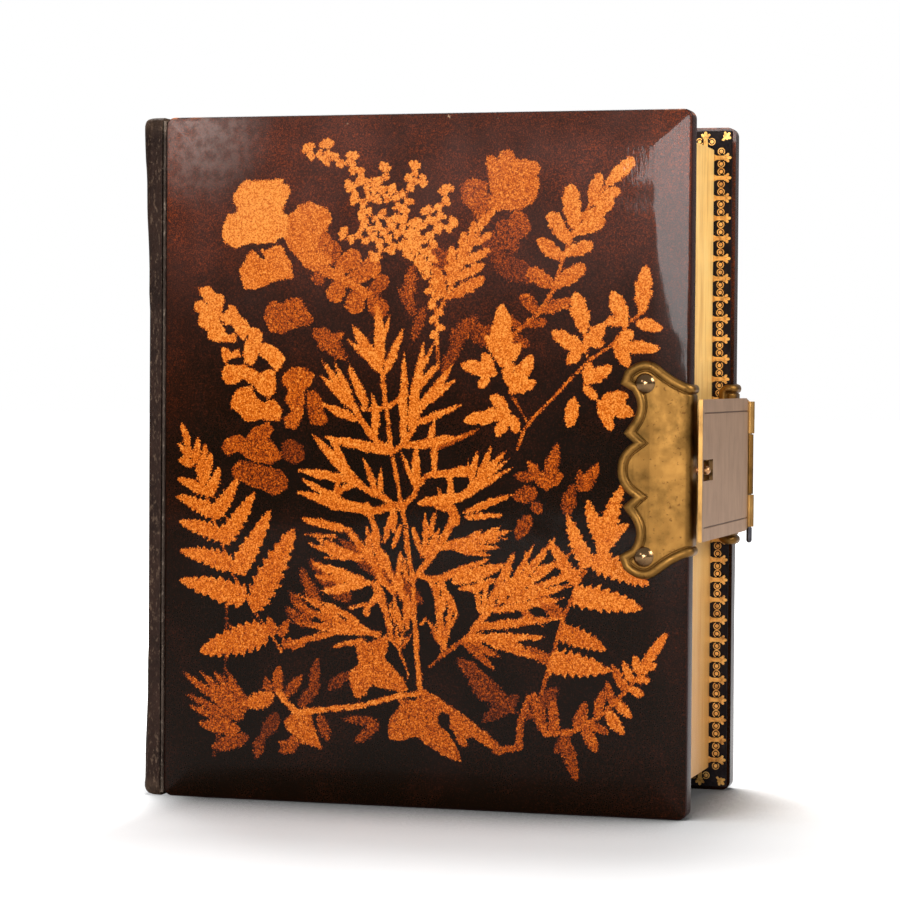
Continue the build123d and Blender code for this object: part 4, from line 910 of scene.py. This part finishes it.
def stamped_plate(name, side, material, with_knuckle=False):
    """A sheet stamped with a round bead, then bent over the margin and the fore-edge of its cover."""
    line = plate_line()
    half = plate_outline(line[-1][0])
    outline = half + [(-15.8, 0.0)] + [(run, -height) for run, height in reversed(half)]
    bm = bmesh.new()
    rim = [bm.verts.new((run, height, 0)) for run, height in outline]
    top = bm.faces.new(rim)
    if top.normal.z < 0:
        top.normal_flip()
    top.normal_update()
    if top.normal.z < 0:
        top.normal_flip()
    lifted = bmesh.ops.extrude_face_region(bm, geom=[top])["geom"]
    face = next(item for item in lifted if isinstance(item, bmesh.types.BMFace))
    bmesh.ops.translate(bm, vec=(0, 0, 0.45), verts=list(face.verts))
    # Bead: in from the edge and up, over the crown, down to the groove, up to the flat
    for inward, rise in ((0.10, 0.25), (0.20, 0.22), (0.32, 0.18), (0.42, 0.08), (0.42, -0.08), (0.32, -0.18),
                         (0.16, -0.22), (0.08, -0.18), (0.08, 0.0), (0.12, 0.16), (0.12, 0.10), (0.1, 0.02)):
        bmesh.ops.inset_region(bm, faces=[face], thickness=inward, depth=rise, use_even_offset=True)
    wide = [item for item in bm.faces if len(item.verts) > 4]
    bmesh.ops.triangulate(bm, faces=wide)
    for run, x, y in line[1:-1]:
        bmesh.ops.bisect_plane(bm, geom=bm.verts[:] + bm.edges[:] + bm.faces[:], plane_co=(run, 0, 0),
                               plane_no=(1, 0, 0), dist=0.002)
    runs = np.array([spot[0] for spot in line])
    xs, ys = np.array([spot[1] for spot in line]), np.array([spot[2] for spot in line])
    out_x, out_y = -np.gradient(ys, runs), np.gradient(xs, runs)
    size = np.hypot(out_x, out_y)
    for vert in bm.verts:
        run, height, lift = vert.co
        normal = (np.interp(run, runs, out_x / size), np.interp(run, runs, out_y / size))
        vert.co = (np.interp(run, runs, xs) + normal[0] * lift,
                   np.interp(run, runs, ys) + normal[1] * lift, CLASP_Z + height)
    bmesh.ops.dissolve_limit(bm, angle_limit=radians(0.2), verts=bm.verts, edges=bm.edges)
    if with_knuckle:
        barrel_x, barrel_y, radius, reach = FORE_EDGE_X + 3.2, BOARD_OUTER_Y - 1.15, 0.85, 7.0
        made = bmesh.ops.create_cone(bm, cap_ends=True, segments=28, radius1=radius, radius2=radius, depth=2 * reach)
        bmesh.ops.translate(bm, vec=(barrel_x, barrel_y, CLASP_Z), verts=made["verts"])
        strap = bmesh.ops.create_cube(bm, size=1)["verts"]
        bmesh.ops.scale(bm, vec=(4.2, 0.68, 2 * reach), verts=strap)
        bmesh.ops.translate(bm, vec=(FORE_EDGE_X + 1.1, BOARD_OUTER_Y - 0.65, CLASP_Z), verts=strap)
        edges = [edge for edge in bm.edges if edge.verts[0] in strap and edge.verts[1] in strap]
        bmesh.ops.bevel(bm, geom=edges, offset=0.15, segments=2, profile=0.5, affect="EDGES", material=-1)
    if side < 0:
        bmesh.ops.scale(bm, vec=(1, -1, 1), verts=bm.verts)
    bmesh.ops.recalc_face_normals(bm, faces=bm.faces)
    return mesh_object(name, bm, material, 46)


# ---- gilt roll on the turned-in leather ----
ROLL_PITCH = 4.6


def flat_gilding(bm, points, lift):
    """A closed wafer of gold leaf from an outline."""
    wafer = bm.faces.new([bm.verts.new((a, b, 0)) for a, b in points])
    made = bmesh.ops.extrude_face_region(bm, geom=[wafer])["geom"]
    bmesh.ops.translate(bm, vec=(0, 0, lift), verts=[item for item in made if isinstance(item, bmesh.types.BMVert)])


def gilt_ribbon(bm, points, width, lift):
    """A line of gold leaf along some points, as one strip of quads with a thickness."""
    spots = [Vector(point) for point in points]
    left, right = [], []
    for index, spot in enumerate(spots):
        ahead = (spots[min(index + 1, len(spots) - 1)] - spots[max(index - 1, 0)]).normalized()
        out = Vector((-ahead.y, ahead.x)) * width / 2
        left.append(spot + out)
        right.append(spot - out)
    flat_gilding(bm, [tuple(p) for p in left + right[::-1]], lift)


def roll_unit(scrolls):
    """One repeat of the roll: a palmette pointing to the edge on a flared stalk, with an eye in each scroll."""
    bm = bmesh.new()
    lift = 0.05
    for turn, length, width in ((0, 1.5, 0.8), (52, 1.35, 0.7), (-52, 1.35, 0.7), (98, 0.75, 0.44), (-98, 0.75, 0.44)):
        petal = [(0.0, 0.1), (-width / 2, length * 0.55), (-width * 0.36, length * 0.88), (0.0, length),
                 (width * 0.36, length * 0.88), (width / 2, length * 0.55)]
        spin = Matrix.Rotation(radians(turn), 2)
        flat_gilding(bm, [tuple(spin @ Vector(p) + Vector((0, -2.35))) for p in petal], lift)
    foot = -5.4 if scrolls else -3.4
    waist, hip = (0.48, 1.0) if scrolls else (0.26, 0.26)
    flat_gilding(bm, [(-0.42, -2.15), (-waist, -3.3), (-waist, foot * 0.8), (-hip, foot), (hip, foot), (waist, foot * 0.8),
                      (waist, -3.3), (0.42, -2.15)] if scrolls else
                 [(-0.3, -2.15), (-waist, foot), (waist, foot), (0.3, -2.15)], lift)
    for side in (-1, 1) if scrolls else ():
        turns = [radians(-50 + 30 * index) for index in range(11)]
        gilt_ribbon(bm, [(side * (1.46 - 0.78 * sin(-a)), -3.3 + 0.78 * cos(a)) for a in turns], 0.2, lift)
        flat_gilding(bm, [(side * 1.46 + 0.44 * cos(a), -3.3 + 0.44 * sin(a)) for a in np.linspace(0, 2 * pi, 11)[:-1]], lift)
    bmesh.ops.recalc_face_normals(bm, faces=bm.faces)
    return bm


def gilt_roll(name, side, material):
    """The roll along head, fore-edge and tail of one cover, with a fillet inside it and a palmette in each corner."""
    patterns = []
    for scrolls in (True, False):
        unit = roll_unit(scrolls)
        patterns.append(bpy.data.meshes.new("one_repeat"))
        unit.to_mesh(patterns[-1])
        unit.free()
    bm = bmesh.new()
    across = COVER_WIDTH - 2 * 4.7
    along = COVER_HEIGHT - 2 * 4.7
    placings = []
    for edge_length, spot, turn in ((along, (FORE_EDGE_X, MID_Z), -90), (across, (JOINT_X + COVER_WIDTH / 2, COVER_HEIGHT), 0),
                                    (across, (JOINT_X + COVER_WIDTH / 2, 0), 180)):
        count = int(edge_length / ROLL_PITCH)
        for index in range(count):
            step = (index - (count - 1) / 2) * ROLL_PITCH * (edge_length / (count * ROLL_PITCH))
            placings.append((patterns[0], Matrix.Translation((*spot, 0)) @ Matrix.Rotation(radians(turn), 4, "Z")
                             @ Matrix.Translation((step, 0, 0))))
    for corner_z, turn in ((COVER_HEIGHT, -45), (0, -135)):
        placings.append((patterns[1], Matrix.Translation((FORE_EDGE_X, corner_z, 0)) @ Matrix.Rotation(radians(turn), 4, "Z")
                         @ Matrix.Translation((0, -0.9, 0))))
    for pattern, placing in placings:
        start = len(bm.verts)
        bm.from_mesh(pattern)
        bm.verts.ensure_lookup_table()
        bmesh.ops.transform(bm, matrix=placing, verts=bm.verts[start:])
    inset = 6.6
    left, right = JOINT_X + 11.5, FORE_EDGE_X - inset
    for gap in (0.0, 0.5):
        for a, b in (((left, inset + gap), (right - gap, inset + gap)),
                     ((right - gap, inset + gap), (right - gap, COVER_HEIGHT - inset - gap)),
                     ((right - gap, COVER_HEIGHT - inset - gap), (left, COVER_HEIGHT - inset - gap))):
            gilt_ribbon(bm, [a, b], 0.16, 0.05)
    for pattern in patterns:
        bpy.data.meshes.remove(pattern)
    bmesh.ops.recalc_face_normals(bm, faces=bm.faces)
    surface_y = BOARD_INNER_Y - 0.6 + 0.02
    for vert in bm.verts:
        vert.co = (vert.co.x, side * (surface_y - vert.co.z), vert.co.y)
    bmesh.ops.recalc_face_normals(bm, faces=bm.faces)
    return mesh_object(name, bm, material, 30)


# ---- leather back and joint ----
SPINE_LOW, SPINE_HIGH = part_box("spine_leather")
SPINE_X, LEATHER_EDGE_X = SPINE_LOW.x / MM, JOINT_X - 0.7
LEATHER_Y = SPINE_HIGH.y / MM


def spine_hide_shell(name, material):
    """The back: drawn in at mid height by handling, full and rubbed at head and tail, hollow towards the leaves."""
    radius = 3.2
    profile = [(LEATHER_EDGE_X, -LEATHER_Y), (LEATHER_EDGE_X - 0.35, -LEATHER_Y)]
    profile += [(SPINE_X + radius * (1 - sin(a)), -LEATHER_Y + radius * (1 - cos(a))) for a in np.linspace(0, pi / 2, 12)]
    profile += [(SPINE_X, y) for y in np.linspace(-LEATHER_Y + radius, LEATHER_Y - radius, 16)[1:-1]]
    profile += [(x, -y) for x, y in reversed(profile[:14])]
    bm = bmesh.new()
    face = bm.faces.new([bm.verts.new((x, y, 0)) for x, y in profile])
    heights = sorted({0.25, 0.6, 1.1, 1.8, 2.6, *np.linspace(3.6, COVER_HEIGHT - 3.6, 54),
                      *(COVER_HEIGHT - h for h in (0, 0.25, 0.6, 1.1, 1.8, 2.6))})
    last = 0.0
    for height in heights:
        made = bmesh.ops.extrude_face_region(bm, geom=[face])["geom"]
        face = next(item for item in made if isinstance(item, bmesh.types.BMFace))
        bmesh.ops.translate(bm, vec=(0, 0, height - last), verts=list(face.verts))
        last = height
    depth = LEATHER_EDGE_X - SPINE_X
    for vert in bm.verts:
        x, y, z = vert.co
        outer = (LEATHER_EDGE_X - x) / depth
        corner = min(max((abs(y) - 20.5) / 6.0, 0.0), 1.0)
        fullness = abs(2 * z / COVER_HEIGHT - 1) ** 2.2 * (1.8 if z > MID_Z else 0.95)
        middle = 1 - abs(2 * z / COVER_HEIGHT - 1) ** 2.2
        ripple = 0.5 + 0.5 * sin(z * 0.43 + 1.3 * sin(z * 0.17) + 0.3 * y)
        wrinkle = 0.5 + 0.5 * sin(z * 1.9 + 0.8 * sin(y * 0.9 + z * 0.3))
        pull = (0.1 * middle * corner - fullness + 0.14 * ripple + 0.07 * wrinkle) * outer
        end = min(1.0, max(0.0, 2.4 - min(z, COVER_HEIGHT - z)) / 2.4)
        tuck = 1.3 * (1 - (1 - end**2) ** 0.5)
        vert.co = (x + pull + tuck * outer, y - (1 if y > 0 else -1) * (tuck + 0.25 * middle * outer) * min(1.0, abs(y) / 20), z)
    open_side = [item for item in bm.faces if all(abs(v.co.x - LEATHER_EDGE_X) < 0.01 for v in item.verts)
                 and 1.2 < item.calc_center_median().z < COVER_HEIGHT - 1.2]
    bmesh.ops.inset_region(bm, faces=open_side, thickness=3.4, use_even_offset=True)
    made = bmesh.ops.extrude_face_region(bm, geom=open_side)["geom"]
    bmesh.ops.translate(bm, vec=(-2.85, 0, 0), verts=[item for item in made if isinstance(item, bmesh.types.BMVert)])
    bmesh.ops.delete(bm, geom=open_side, context="FACES")
    bmesh.ops.recalc_face_normals(bm, faces=bm.faces)
    return mesh_object(name, bm, material, 60)


def bent_strip(name, section, low_z, high_z, rows, material):
    """A strip with the given closed section, upright between two heights."""
    bm = bmesh.new()
    face = bm.faces.new([bm.verts.new((x, y, low_z)) for x, y in section])
    for row in range(rows):
        made = bmesh.ops.extrude_face_region(bm, geom=[face])["geom"]
        face = next(item for item in made if isinstance(item, bmesh.types.BMFace))
        bmesh.ops.translate(bm, vec=(0, 0, (high_z - low_z) / rows), verts=list(face.verts))
    bmesh.ops.recalc_face_normals(bm, faces=bm.faces)
    return mesh_object(name, bm, material, 40)


def joint_leather(material):
    """Leather that joins the front cover to the back. It lies folded in the joint while the album is shut."""
    middle = [(-61.42, -24.0), (-61.40, -26.0), (-61.38, -28.05), (-61.25, -28.22), (-61.12, -28.28), (-61.0, -28.22),
              (-60.93, -28.05), (-60.92, -26.0), (-60.92, -24.2)]
    half = 0.06
    outer, inner = [], []
    for index, (x, y) in enumerate(middle):
        ahead = Vector(middle[min(index + 1, len(middle) - 1)]) - Vector(middle[max(index - 1, 0)])
        out = Vector((-ahead.y, ahead.x)).normalized() * half
        outer.append((x + out.x, y + out.y))
        inner.append((x - out.x, y - out.y))
    strip = bent_strip("joint_leather", outer + inner[::-1], 0.8, COVER_HEIGHT - 0.8, 24, material)
    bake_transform(strip)


def leaf_hinges(material):
    """Linen that runs from each guard to its leaf."""
    for number in range(1, 15):
        low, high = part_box(f"leaf_{number:02d}_core")
        y = (low.y + high.y) / 2 / MM
        xs = list(np.linspace(-54.3, -52.9, 12))
        section = [(x, y - 0.17) for x in xs] + [(x, y + 0.17) for x in reversed(xs)]
        strip = bent_strip(f"leaf_{number:02d}_linen_hinge", section, 7.0, 148.0, 2, material)
        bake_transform(strip)


# ---- finishes for the carried-over nodes ----
def dress(names, material):
    for name in names:
        slots = NODES[name].data.materials
        slots.clear()
        slots.append(material)


def brass(name, light, dark, roughness=0.34, pits=1.0, metallic=1.0):
    material, tree = new_finish(name)
    at = place(tree)
    cloud = noise(tree, at, 130.0, 5.0, 0.62)
    shade = ramp(tree, cloud, [(0.28, dark), (0.5, light), (0.75, lighten(light, 1.18))])
    spots = spread(tree, noise(tree, at, 1050.0, 3.0, 0.6), 0.60, 0.70)
    stain = mixed(tree, sums(tree, "MULTIPLY", spots, 0.55 * pits), shade, colour(72, 44, 20))
    rough = spread(tree, noise(tree, at, 240.0, 5.0, 0.6), 0.3, 0.75, roughness - 0.05, roughness + 0.14)
    scratches = noise(tree, place(tree, (1, 1, 0.06)), 2600.0, 2.0)
    normal = bumped(tree, scratches, 0.08, 0.0001, bumped(tree, spots, -0.3 * pits, 0.0002))
    surface(tree, {"Base Color": stain, "Metallic": metallic, "Roughness": rough, "Normal": normal})
    return material


def lighten(shade, gain):
    return tuple(min(1.0, part * gain) for part in shade[:3]) + (1.0,)


clasp_brass = brass("worn_clasp_brass", colour(118, 84, 40), colour(76, 54, 24), 0.43, 1.3)
rivet_brass = brass("darkened_rivet_brass", colour(124, 96, 66), colour(76, 56, 36), 0.22, 0.6)
stud_brass = brass("rubbed_stud_brass", colour(176, 128, 86), colour(112, 76, 46), 0.30, 0.3)
knuckle_brass = brass("rubbed_knuckle_brass", colour(226, 172, 92), colour(160, 108, 48), 0.30, 0.5)
for name, side, body in (("front", -1, "front_cover"), ("back", 1, "case")):
    plate = stamped_plate(f"{name}_clasp_stamping", side, clasp_brass, with_knuckle=side > 0)
    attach(plate, body)
    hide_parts(f"clasp_{name}_plate")
dress(["clasp_front_rivets", "clasp_back_rivets"], rivet_brass)
dress(["catch_stud"], stud_brass)


def hasp_finish():
    """Grey-brown tarnish on the flat of the hasp, rubbed back to brass on its edges and knuckles."""
    material, tree = new_finish("tarnished_hasp_brass")
    at = place(tree)
    parts = put(tree, "ShaderNodeSeparateXYZ", {"Vector": at}).outputs
    streak = noise(tree, place(tree, (1, 1, 0.35)), 330.0, 5.0, 0.65)
    dull = ramp(tree, streak, [(0.25, colour(150, 117, 91)), (0.5, colour(166, 132, 105)), (0.8, colour(180, 145, 116))])
    bare = ramp(tree, noise(tree, at, 160.0, 4.0), [(0.3, colour(124, 90, 46)), (0.7, colour(182, 138, 76))])
    facing = put(tree, "ShaderNodeSeparateXYZ", {"Vector": put(tree, "ShaderNodeTexCoord").outputs["Normal"]}).outputs
    flat = spread(tree, facing["X"], 0.90, 0.98)
    ahead = spread(tree, parts["Y"], 0.0252, 0.0262, 1.0, 0.0)
    wear = spread(tree, sums(tree, "ADD", parts["Y"], sums(tree, "MULTIPLY", streak, 0.001)), -0.0283, -0.0277)
    face = sums(tree, "MULTIPLY", flat, sums(tree, "MULTIPLY", ahead, wear))
    deep = spread(tree, parts["X"], 0.06410, 0.06418, 1.0, 0.0)
    # The walls of the slot are coloured dark brown: painted shade inside the slot.
    beside_slot = spread(tree, sums(tree, "ABSOLUTE", sums(tree, "SUBTRACT", parts["Z"], CLASP_Z * MM), 0.0), 0.0026, 0.0027, 1.0, 0.0)
    behind_lip = spread(tree, parts["Y"], -0.0281, -0.0280)
    painted_slot_shade = sums(tree, "MULTIPLY", sums(tree, "MULTIPLY", beside_slot, behind_lip), spread(tree, facing["X"], 0.5, 0.9, 0.85, 0.0))
    shade = mixed(tree, sums(tree, "MULTIPLY", sums(tree, "MULTIPLY", deep, face), 0.8),
                  mixed(tree, face, bare, dull), colour(84, 54, 30))
    shade = mixed(tree, painted_slot_shade, shade, colour(52, 34, 18))
    rough = spread(tree, face, 0.0, 1.0, 0.38, 0.48)
    normal = bumped(tree, noise(tree, place(tree, (1, 1, 0.05)), 2600.0, 2.0), 0.10, 0.0001)
    surface(tree, {"Base Color": shade, "Metallic": 0.85, "Roughness": rough, "Normal": normal})
    return material


dress(["hasp_plate"], hasp_finish())


def steel_finish():
    material, tree = new_finish("dark_pin_steel")
    shade = ramp(tree, noise(tree, place(tree), 420.0, 4.0), [(0.3, colour(44, 42, 46)), (0.7, colour(92, 90, 96))])
    surface(tree, {"Base Color": shade, "Metallic": 1.0, "Roughness": 0.32})
    return material


dress(["hinge_pin"], steel_finish())


def leather(name, dark, light, worn, amount):
    material, tree = new_finish(name)
    at = place(tree)
    grain = put(tree, "ShaderNodeTexVoronoi", {"Vector": at, "Scale": 1500.0}).outputs["Distance"]
    cloud = noise(tree, at, 190.0, 5.0, 0.65)
    base = ramp(tree, cloud, [(0.3, dark), (0.7, light)])
    flecks = spread(tree, noise(tree, place(tree, (1, 1, 0.4)), 1700.0, 4.0, 0.7), 0.54, 0.66)
    shade = mixed(tree, sums(tree, "MULTIPLY", flecks, amount), base, worn)
    height = put(tree, "ShaderNodeSeparateXYZ", {"Vector": at}).outputs["Z"]
    from_end = sums(tree, "ABSOLUTE", sums(tree, "SUBTRACT", height, 0.0775), 0.0)
    rubbed = sums(tree, "MULTIPLY", spread(tree, from_end, 0.0728, 0.0768), spread(tree, cloud, 0.35, 0.6, 0.25, 0.95))
    shade = mixed(tree, sums(tree, "MULTIPLY", rubbed, amount), shade, lighten(worn, 1.25))
    normal = bumped(tree, grain, 0.5, 0.0002, bumped(tree, cloud, 0.3, 0.0004))
    surface(tree, {"Base Color": shade, "Roughness": 0.55, "Specular IOR Level": 0.07, "Normal": normal})
    return material


spine_hide = leather("worn_spine_leather", colour(28, 17, 13), colour(48, 32, 25), colour(118, 96, 78), 0.4)
turn_in_hide = leather("black_turn_in_leather", colour(14, 11, 13), colour(30, 25, 28), colour(60, 48, 42), 0.15)
back_hide = spine_hide_shell("rubbed_spine_leather", spine_hide)
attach(back_hide, "case")
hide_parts("spine_leather")
# The joint leather's light greys are a painted highlight along the joint; its flecks and rubbed ends are wear.
joint_leather(leather("rubbed_joint_leather_painted_highlight", colour(46, 37, 32), colour(74, 62, 54), colour(150, 132, 116), 0.5))
dress(["front_turn_in", "back_turn_in"], turn_in_hide)


def gold_leaf():
    material, tree = new_finish("tooled_gold_leaf")
    at = place(tree)
    shade = ramp(tree, noise(tree, at, 700.0, 4.0, 0.65), [
        (0.28, colour(150, 98, 46)), (0.5, colour(218, 164, 86)), (0.75, colour(240, 192, 112))])
    rough = spread(tree, noise(tree, at, 300.0), 0.3, 0.7, 0.32, 0.5)
    surface(tree, {"Base Color": shade, "Metallic": 0.7, "Roughness": rough})
    return material


gilding = gold_leaf()
for name, side, body in (("front", -1, "front_cover"), ("back", 1, "case")):
    roll = gilt_roll(f"{name}_gilt_roll", side, gilding)
    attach(roll, body)


def paper(name, light, dark, scale, coat=0.0):
    material, tree = new_finish(name)
    at = place(tree)
    fibres = noise(tree, at, scale, 6.0, 0.65)
    age = noise(tree, at, 55.0, 3.0)
    base = ramp(tree, fibres, [(0.3, dark), (0.7, light)])
    shade = mixed(tree, spread(tree, age, 0.45, 0.8, 0.0, 0.35), base, colour(206, 178, 132))
    normal = bumped(tree, fibres, 0.15, 0.0001)
    surface(tree, {"Base Color": shade, "Roughness": 0.62, "Normal": normal, "Coat Weight": coat, "Coat Roughness": 0.3})
    return material


def leaf_card(name, face_light, face_dark):
    """Cream card with gilt edges, and the strip of linen that hangs it."""
    material, tree = new_finish(name)
    at = place(tree)
    parts = put(tree, "ShaderNodeSeparateXYZ", {"Vector": at}).outputs
    facing = put(tree, "ShaderNodeSeparateXYZ", {"Vector": put(tree, "ShaderNodeTexCoord").outputs["Normal"]}).outputs
    edge = spread(tree, sums(tree, "ABSOLUTE", facing["Y"], 0.0), 0.5, 0.7, 1.0, 0.0)
    past_linen = spread(tree, parts["X"], -0.04386, -0.04380)
    fibres = noise(tree, at, 1400.0, 5.0, 0.65)
    face = ramp(tree, fibres, [(0.3, face_dark), (0.7, face_light)])
    thread = put(tree, "ShaderNodeTexWave", {"Vector": at, "Scale": 900.0, "Distortion": 0.6},
                 bands_direction="Z").outputs["Fac"]
    linen = ramp(tree, thread, [(0.2, colour(176, 164, 138)), (0.8, colour(222, 212, 188))])
    tint = noise(tree, place(tree, (1, 1, 0.12)), 420.0, 5.0, 0.6)
    gold = ramp(tree, tint, [(0.25, colour(214, 154, 78)), (0.5, colour(250, 202, 118)), (0.8, colour(255, 222, 146))])
    rub = spread(tree, noise(tree, place(tree, (1, 1, 0.5)), 700.0, 4.0), 0.66, 0.76, 0.0, 0.45)
    rubbed = mixed(tree, rub, gold, colour(196, 150, 92))
    # The gilt edges darken towards the tail: painted shade.
    painted_shade_low = spread(tree, parts["Z"], 0.015, 0.12, 0.75, 0.0)
    gilt = mixed(tree, painted_shade_low, rubbed, colour(156, 98, 42))
    # Head and tail edges are darker and duller than the fore-edge: painted shade.
    painted_shade_head_tail = spread(tree, sums(tree, "ABSOLUTE", facing["Z"], 0.0), 0.6, 0.9, 0.0, 0.75)
    gilt = mixed(tree, painted_shade_head_tail, gilt, colour(168, 118, 62))
    shade = mixed(tree, past_linen, linen, mixed(tree, edge, face, gilt))
    metal = sums(tree, "MULTIPLY", sums(tree, "MULTIPLY", edge, past_linen), 0.3)
    rough = spread(tree, edge, 0.0, 1.0, 0.6, 0.42)
    normal = bumped(tree, fibres, 0.12, 0.0001)
    surface(tree, {"Base Color": shade, "Metallic": metal, "Roughness": rough, "Normal": normal})
    return material


core_card = leaf_card("pocket_card", colour(226, 214, 186), colour(208, 194, 162))
mat_card = leaf_card("mat_card", colour(243, 236, 216), colour(232, 222, 196))
LEAVES = [f"leaf_{number:02d}" for number in range(1, 15)]
dress([leaf + "_core" for leaf in LEAVES], core_card)
dress([leaf + "_mats" for leaf in LEAVES], mat_card)
leaf_hinges(core_card)


def square_corners(leaf, material):
    """The gilt fore-edge of a leaf, which closes up with its neighbours', and its two square corners."""
    low, high = (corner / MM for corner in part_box(leaf + "_mats"))
    bm = bmesh.new()
    half = (high.y - low.y) / 2 - 0.01
    cut, reach = 0.35, 3.3
    corner = [(0, 0), (reach - cut, 0), (reach, cut), (reach, reach), (0, reach)]
    for z, way in ((low.z, 1), (high.z, -1)):
        face = bm.faces.new([bm.verts.new((high.x - reach + a, -half, z + way * b)) for a, b in corner])
        made = bmesh.ops.extrude_face_region(bm, geom=[face])["geom"]
        bmesh.ops.translate(bm, vec=(0, 2 * half, 0), verts=[item for item in made if isinstance(item, bmesh.types.BMVert)])
    strip = bmesh.ops.create_cube(bm, size=1)["verts"]
    bmesh.ops.scale(bm, vec=(0.2, 3.18, high.z - low.z - 0.5), verts=strip)
    bmesh.ops.translate(bm, vec=(high.x - 0.09, 0, (low.z + high.z) / 2), verts=strip)
    bmesh.ops.translate(bm, vec=(0, (low.y + high.y) / 2, 0), verts=bm.verts)
    bmesh.ops.recalc_face_normals(bm, faces=bm.faces)
    edge = mesh_object(leaf + "_gilt_fore_edge", bm, material, 30)
    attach(edge, leaf)


for leaf in LEAVES:
    square_corners(leaf, mat_card)
dress(["front_pastedown", "back_pastedown"], paper("glazed_pastedown", colour(238, 230, 210), colour(226, 214, 188), 900.0, 0.3))
dress(["leaf_guards"], paper("guard_card", colour(224, 210, 180), colour(204, 188, 154), 1200.0))
dress(["spine_stiffener"], paper("grey_stiffener_card", colour(170, 156, 134), colour(146, 132, 110), 1100.0))


def cloth(name, light, dark, bands):
    material, tree = new_finish(name)
    at = place(tree)
    warp = put(tree, "ShaderNodeTexWave", {"Vector": at, "Scale": bands, "Distortion": 0.4}, bands_direction="Z")
    weft = put(tree, "ShaderNodeTexWave", {"Vector": at, "Scale": bands, "Distortion": 0.4}, bands_direction="Y")
    weave = sums(tree, "MULTIPLY", warp.outputs["Fac"], weft.outputs["Fac"])
    shade = ramp(tree, weave, [(0.1, dark), (0.8, light)])
    normal = bumped(tree, weave, 0.5, 0.0002)
    surface(tree, {"Base Color": shade, "Roughness": 0.85, "Normal": normal})
    return material


def headband_silk():
    material, tree = new_finish("striped_headband_silk")
    at = place(tree)
    stripe = put(tree, "ShaderNodeTexWave", {"Vector": at, "Scale": 150.0, "Distortion": 0.5}, bands_direction="Y")
    thread = put(tree, "ShaderNodeTexWave", {"Vector": at, "Scale": 900.0, "Distortion": 0.5}, bands_direction="Y")
    shade = ramp(tree, stripe.outputs["Fac"], [(0.46, colour(122, 34, 30)), (0.54, colour(228, 214, 182))])
    normal = bumped(tree, thread.outputs["Fac"], 0.6, 0.0003)
    surface(tree, {"Base Color": shade, "Roughness": 0.6, "Sheen Weight": 0.3, "Normal": normal})
    return material


dress(["spine_lining"], cloth("brown_lining_cloth", colour(132, 108, 84), colour(88, 68, 50), 800.0))
dress(["headband_head", "headband_tail"], headband_silk())
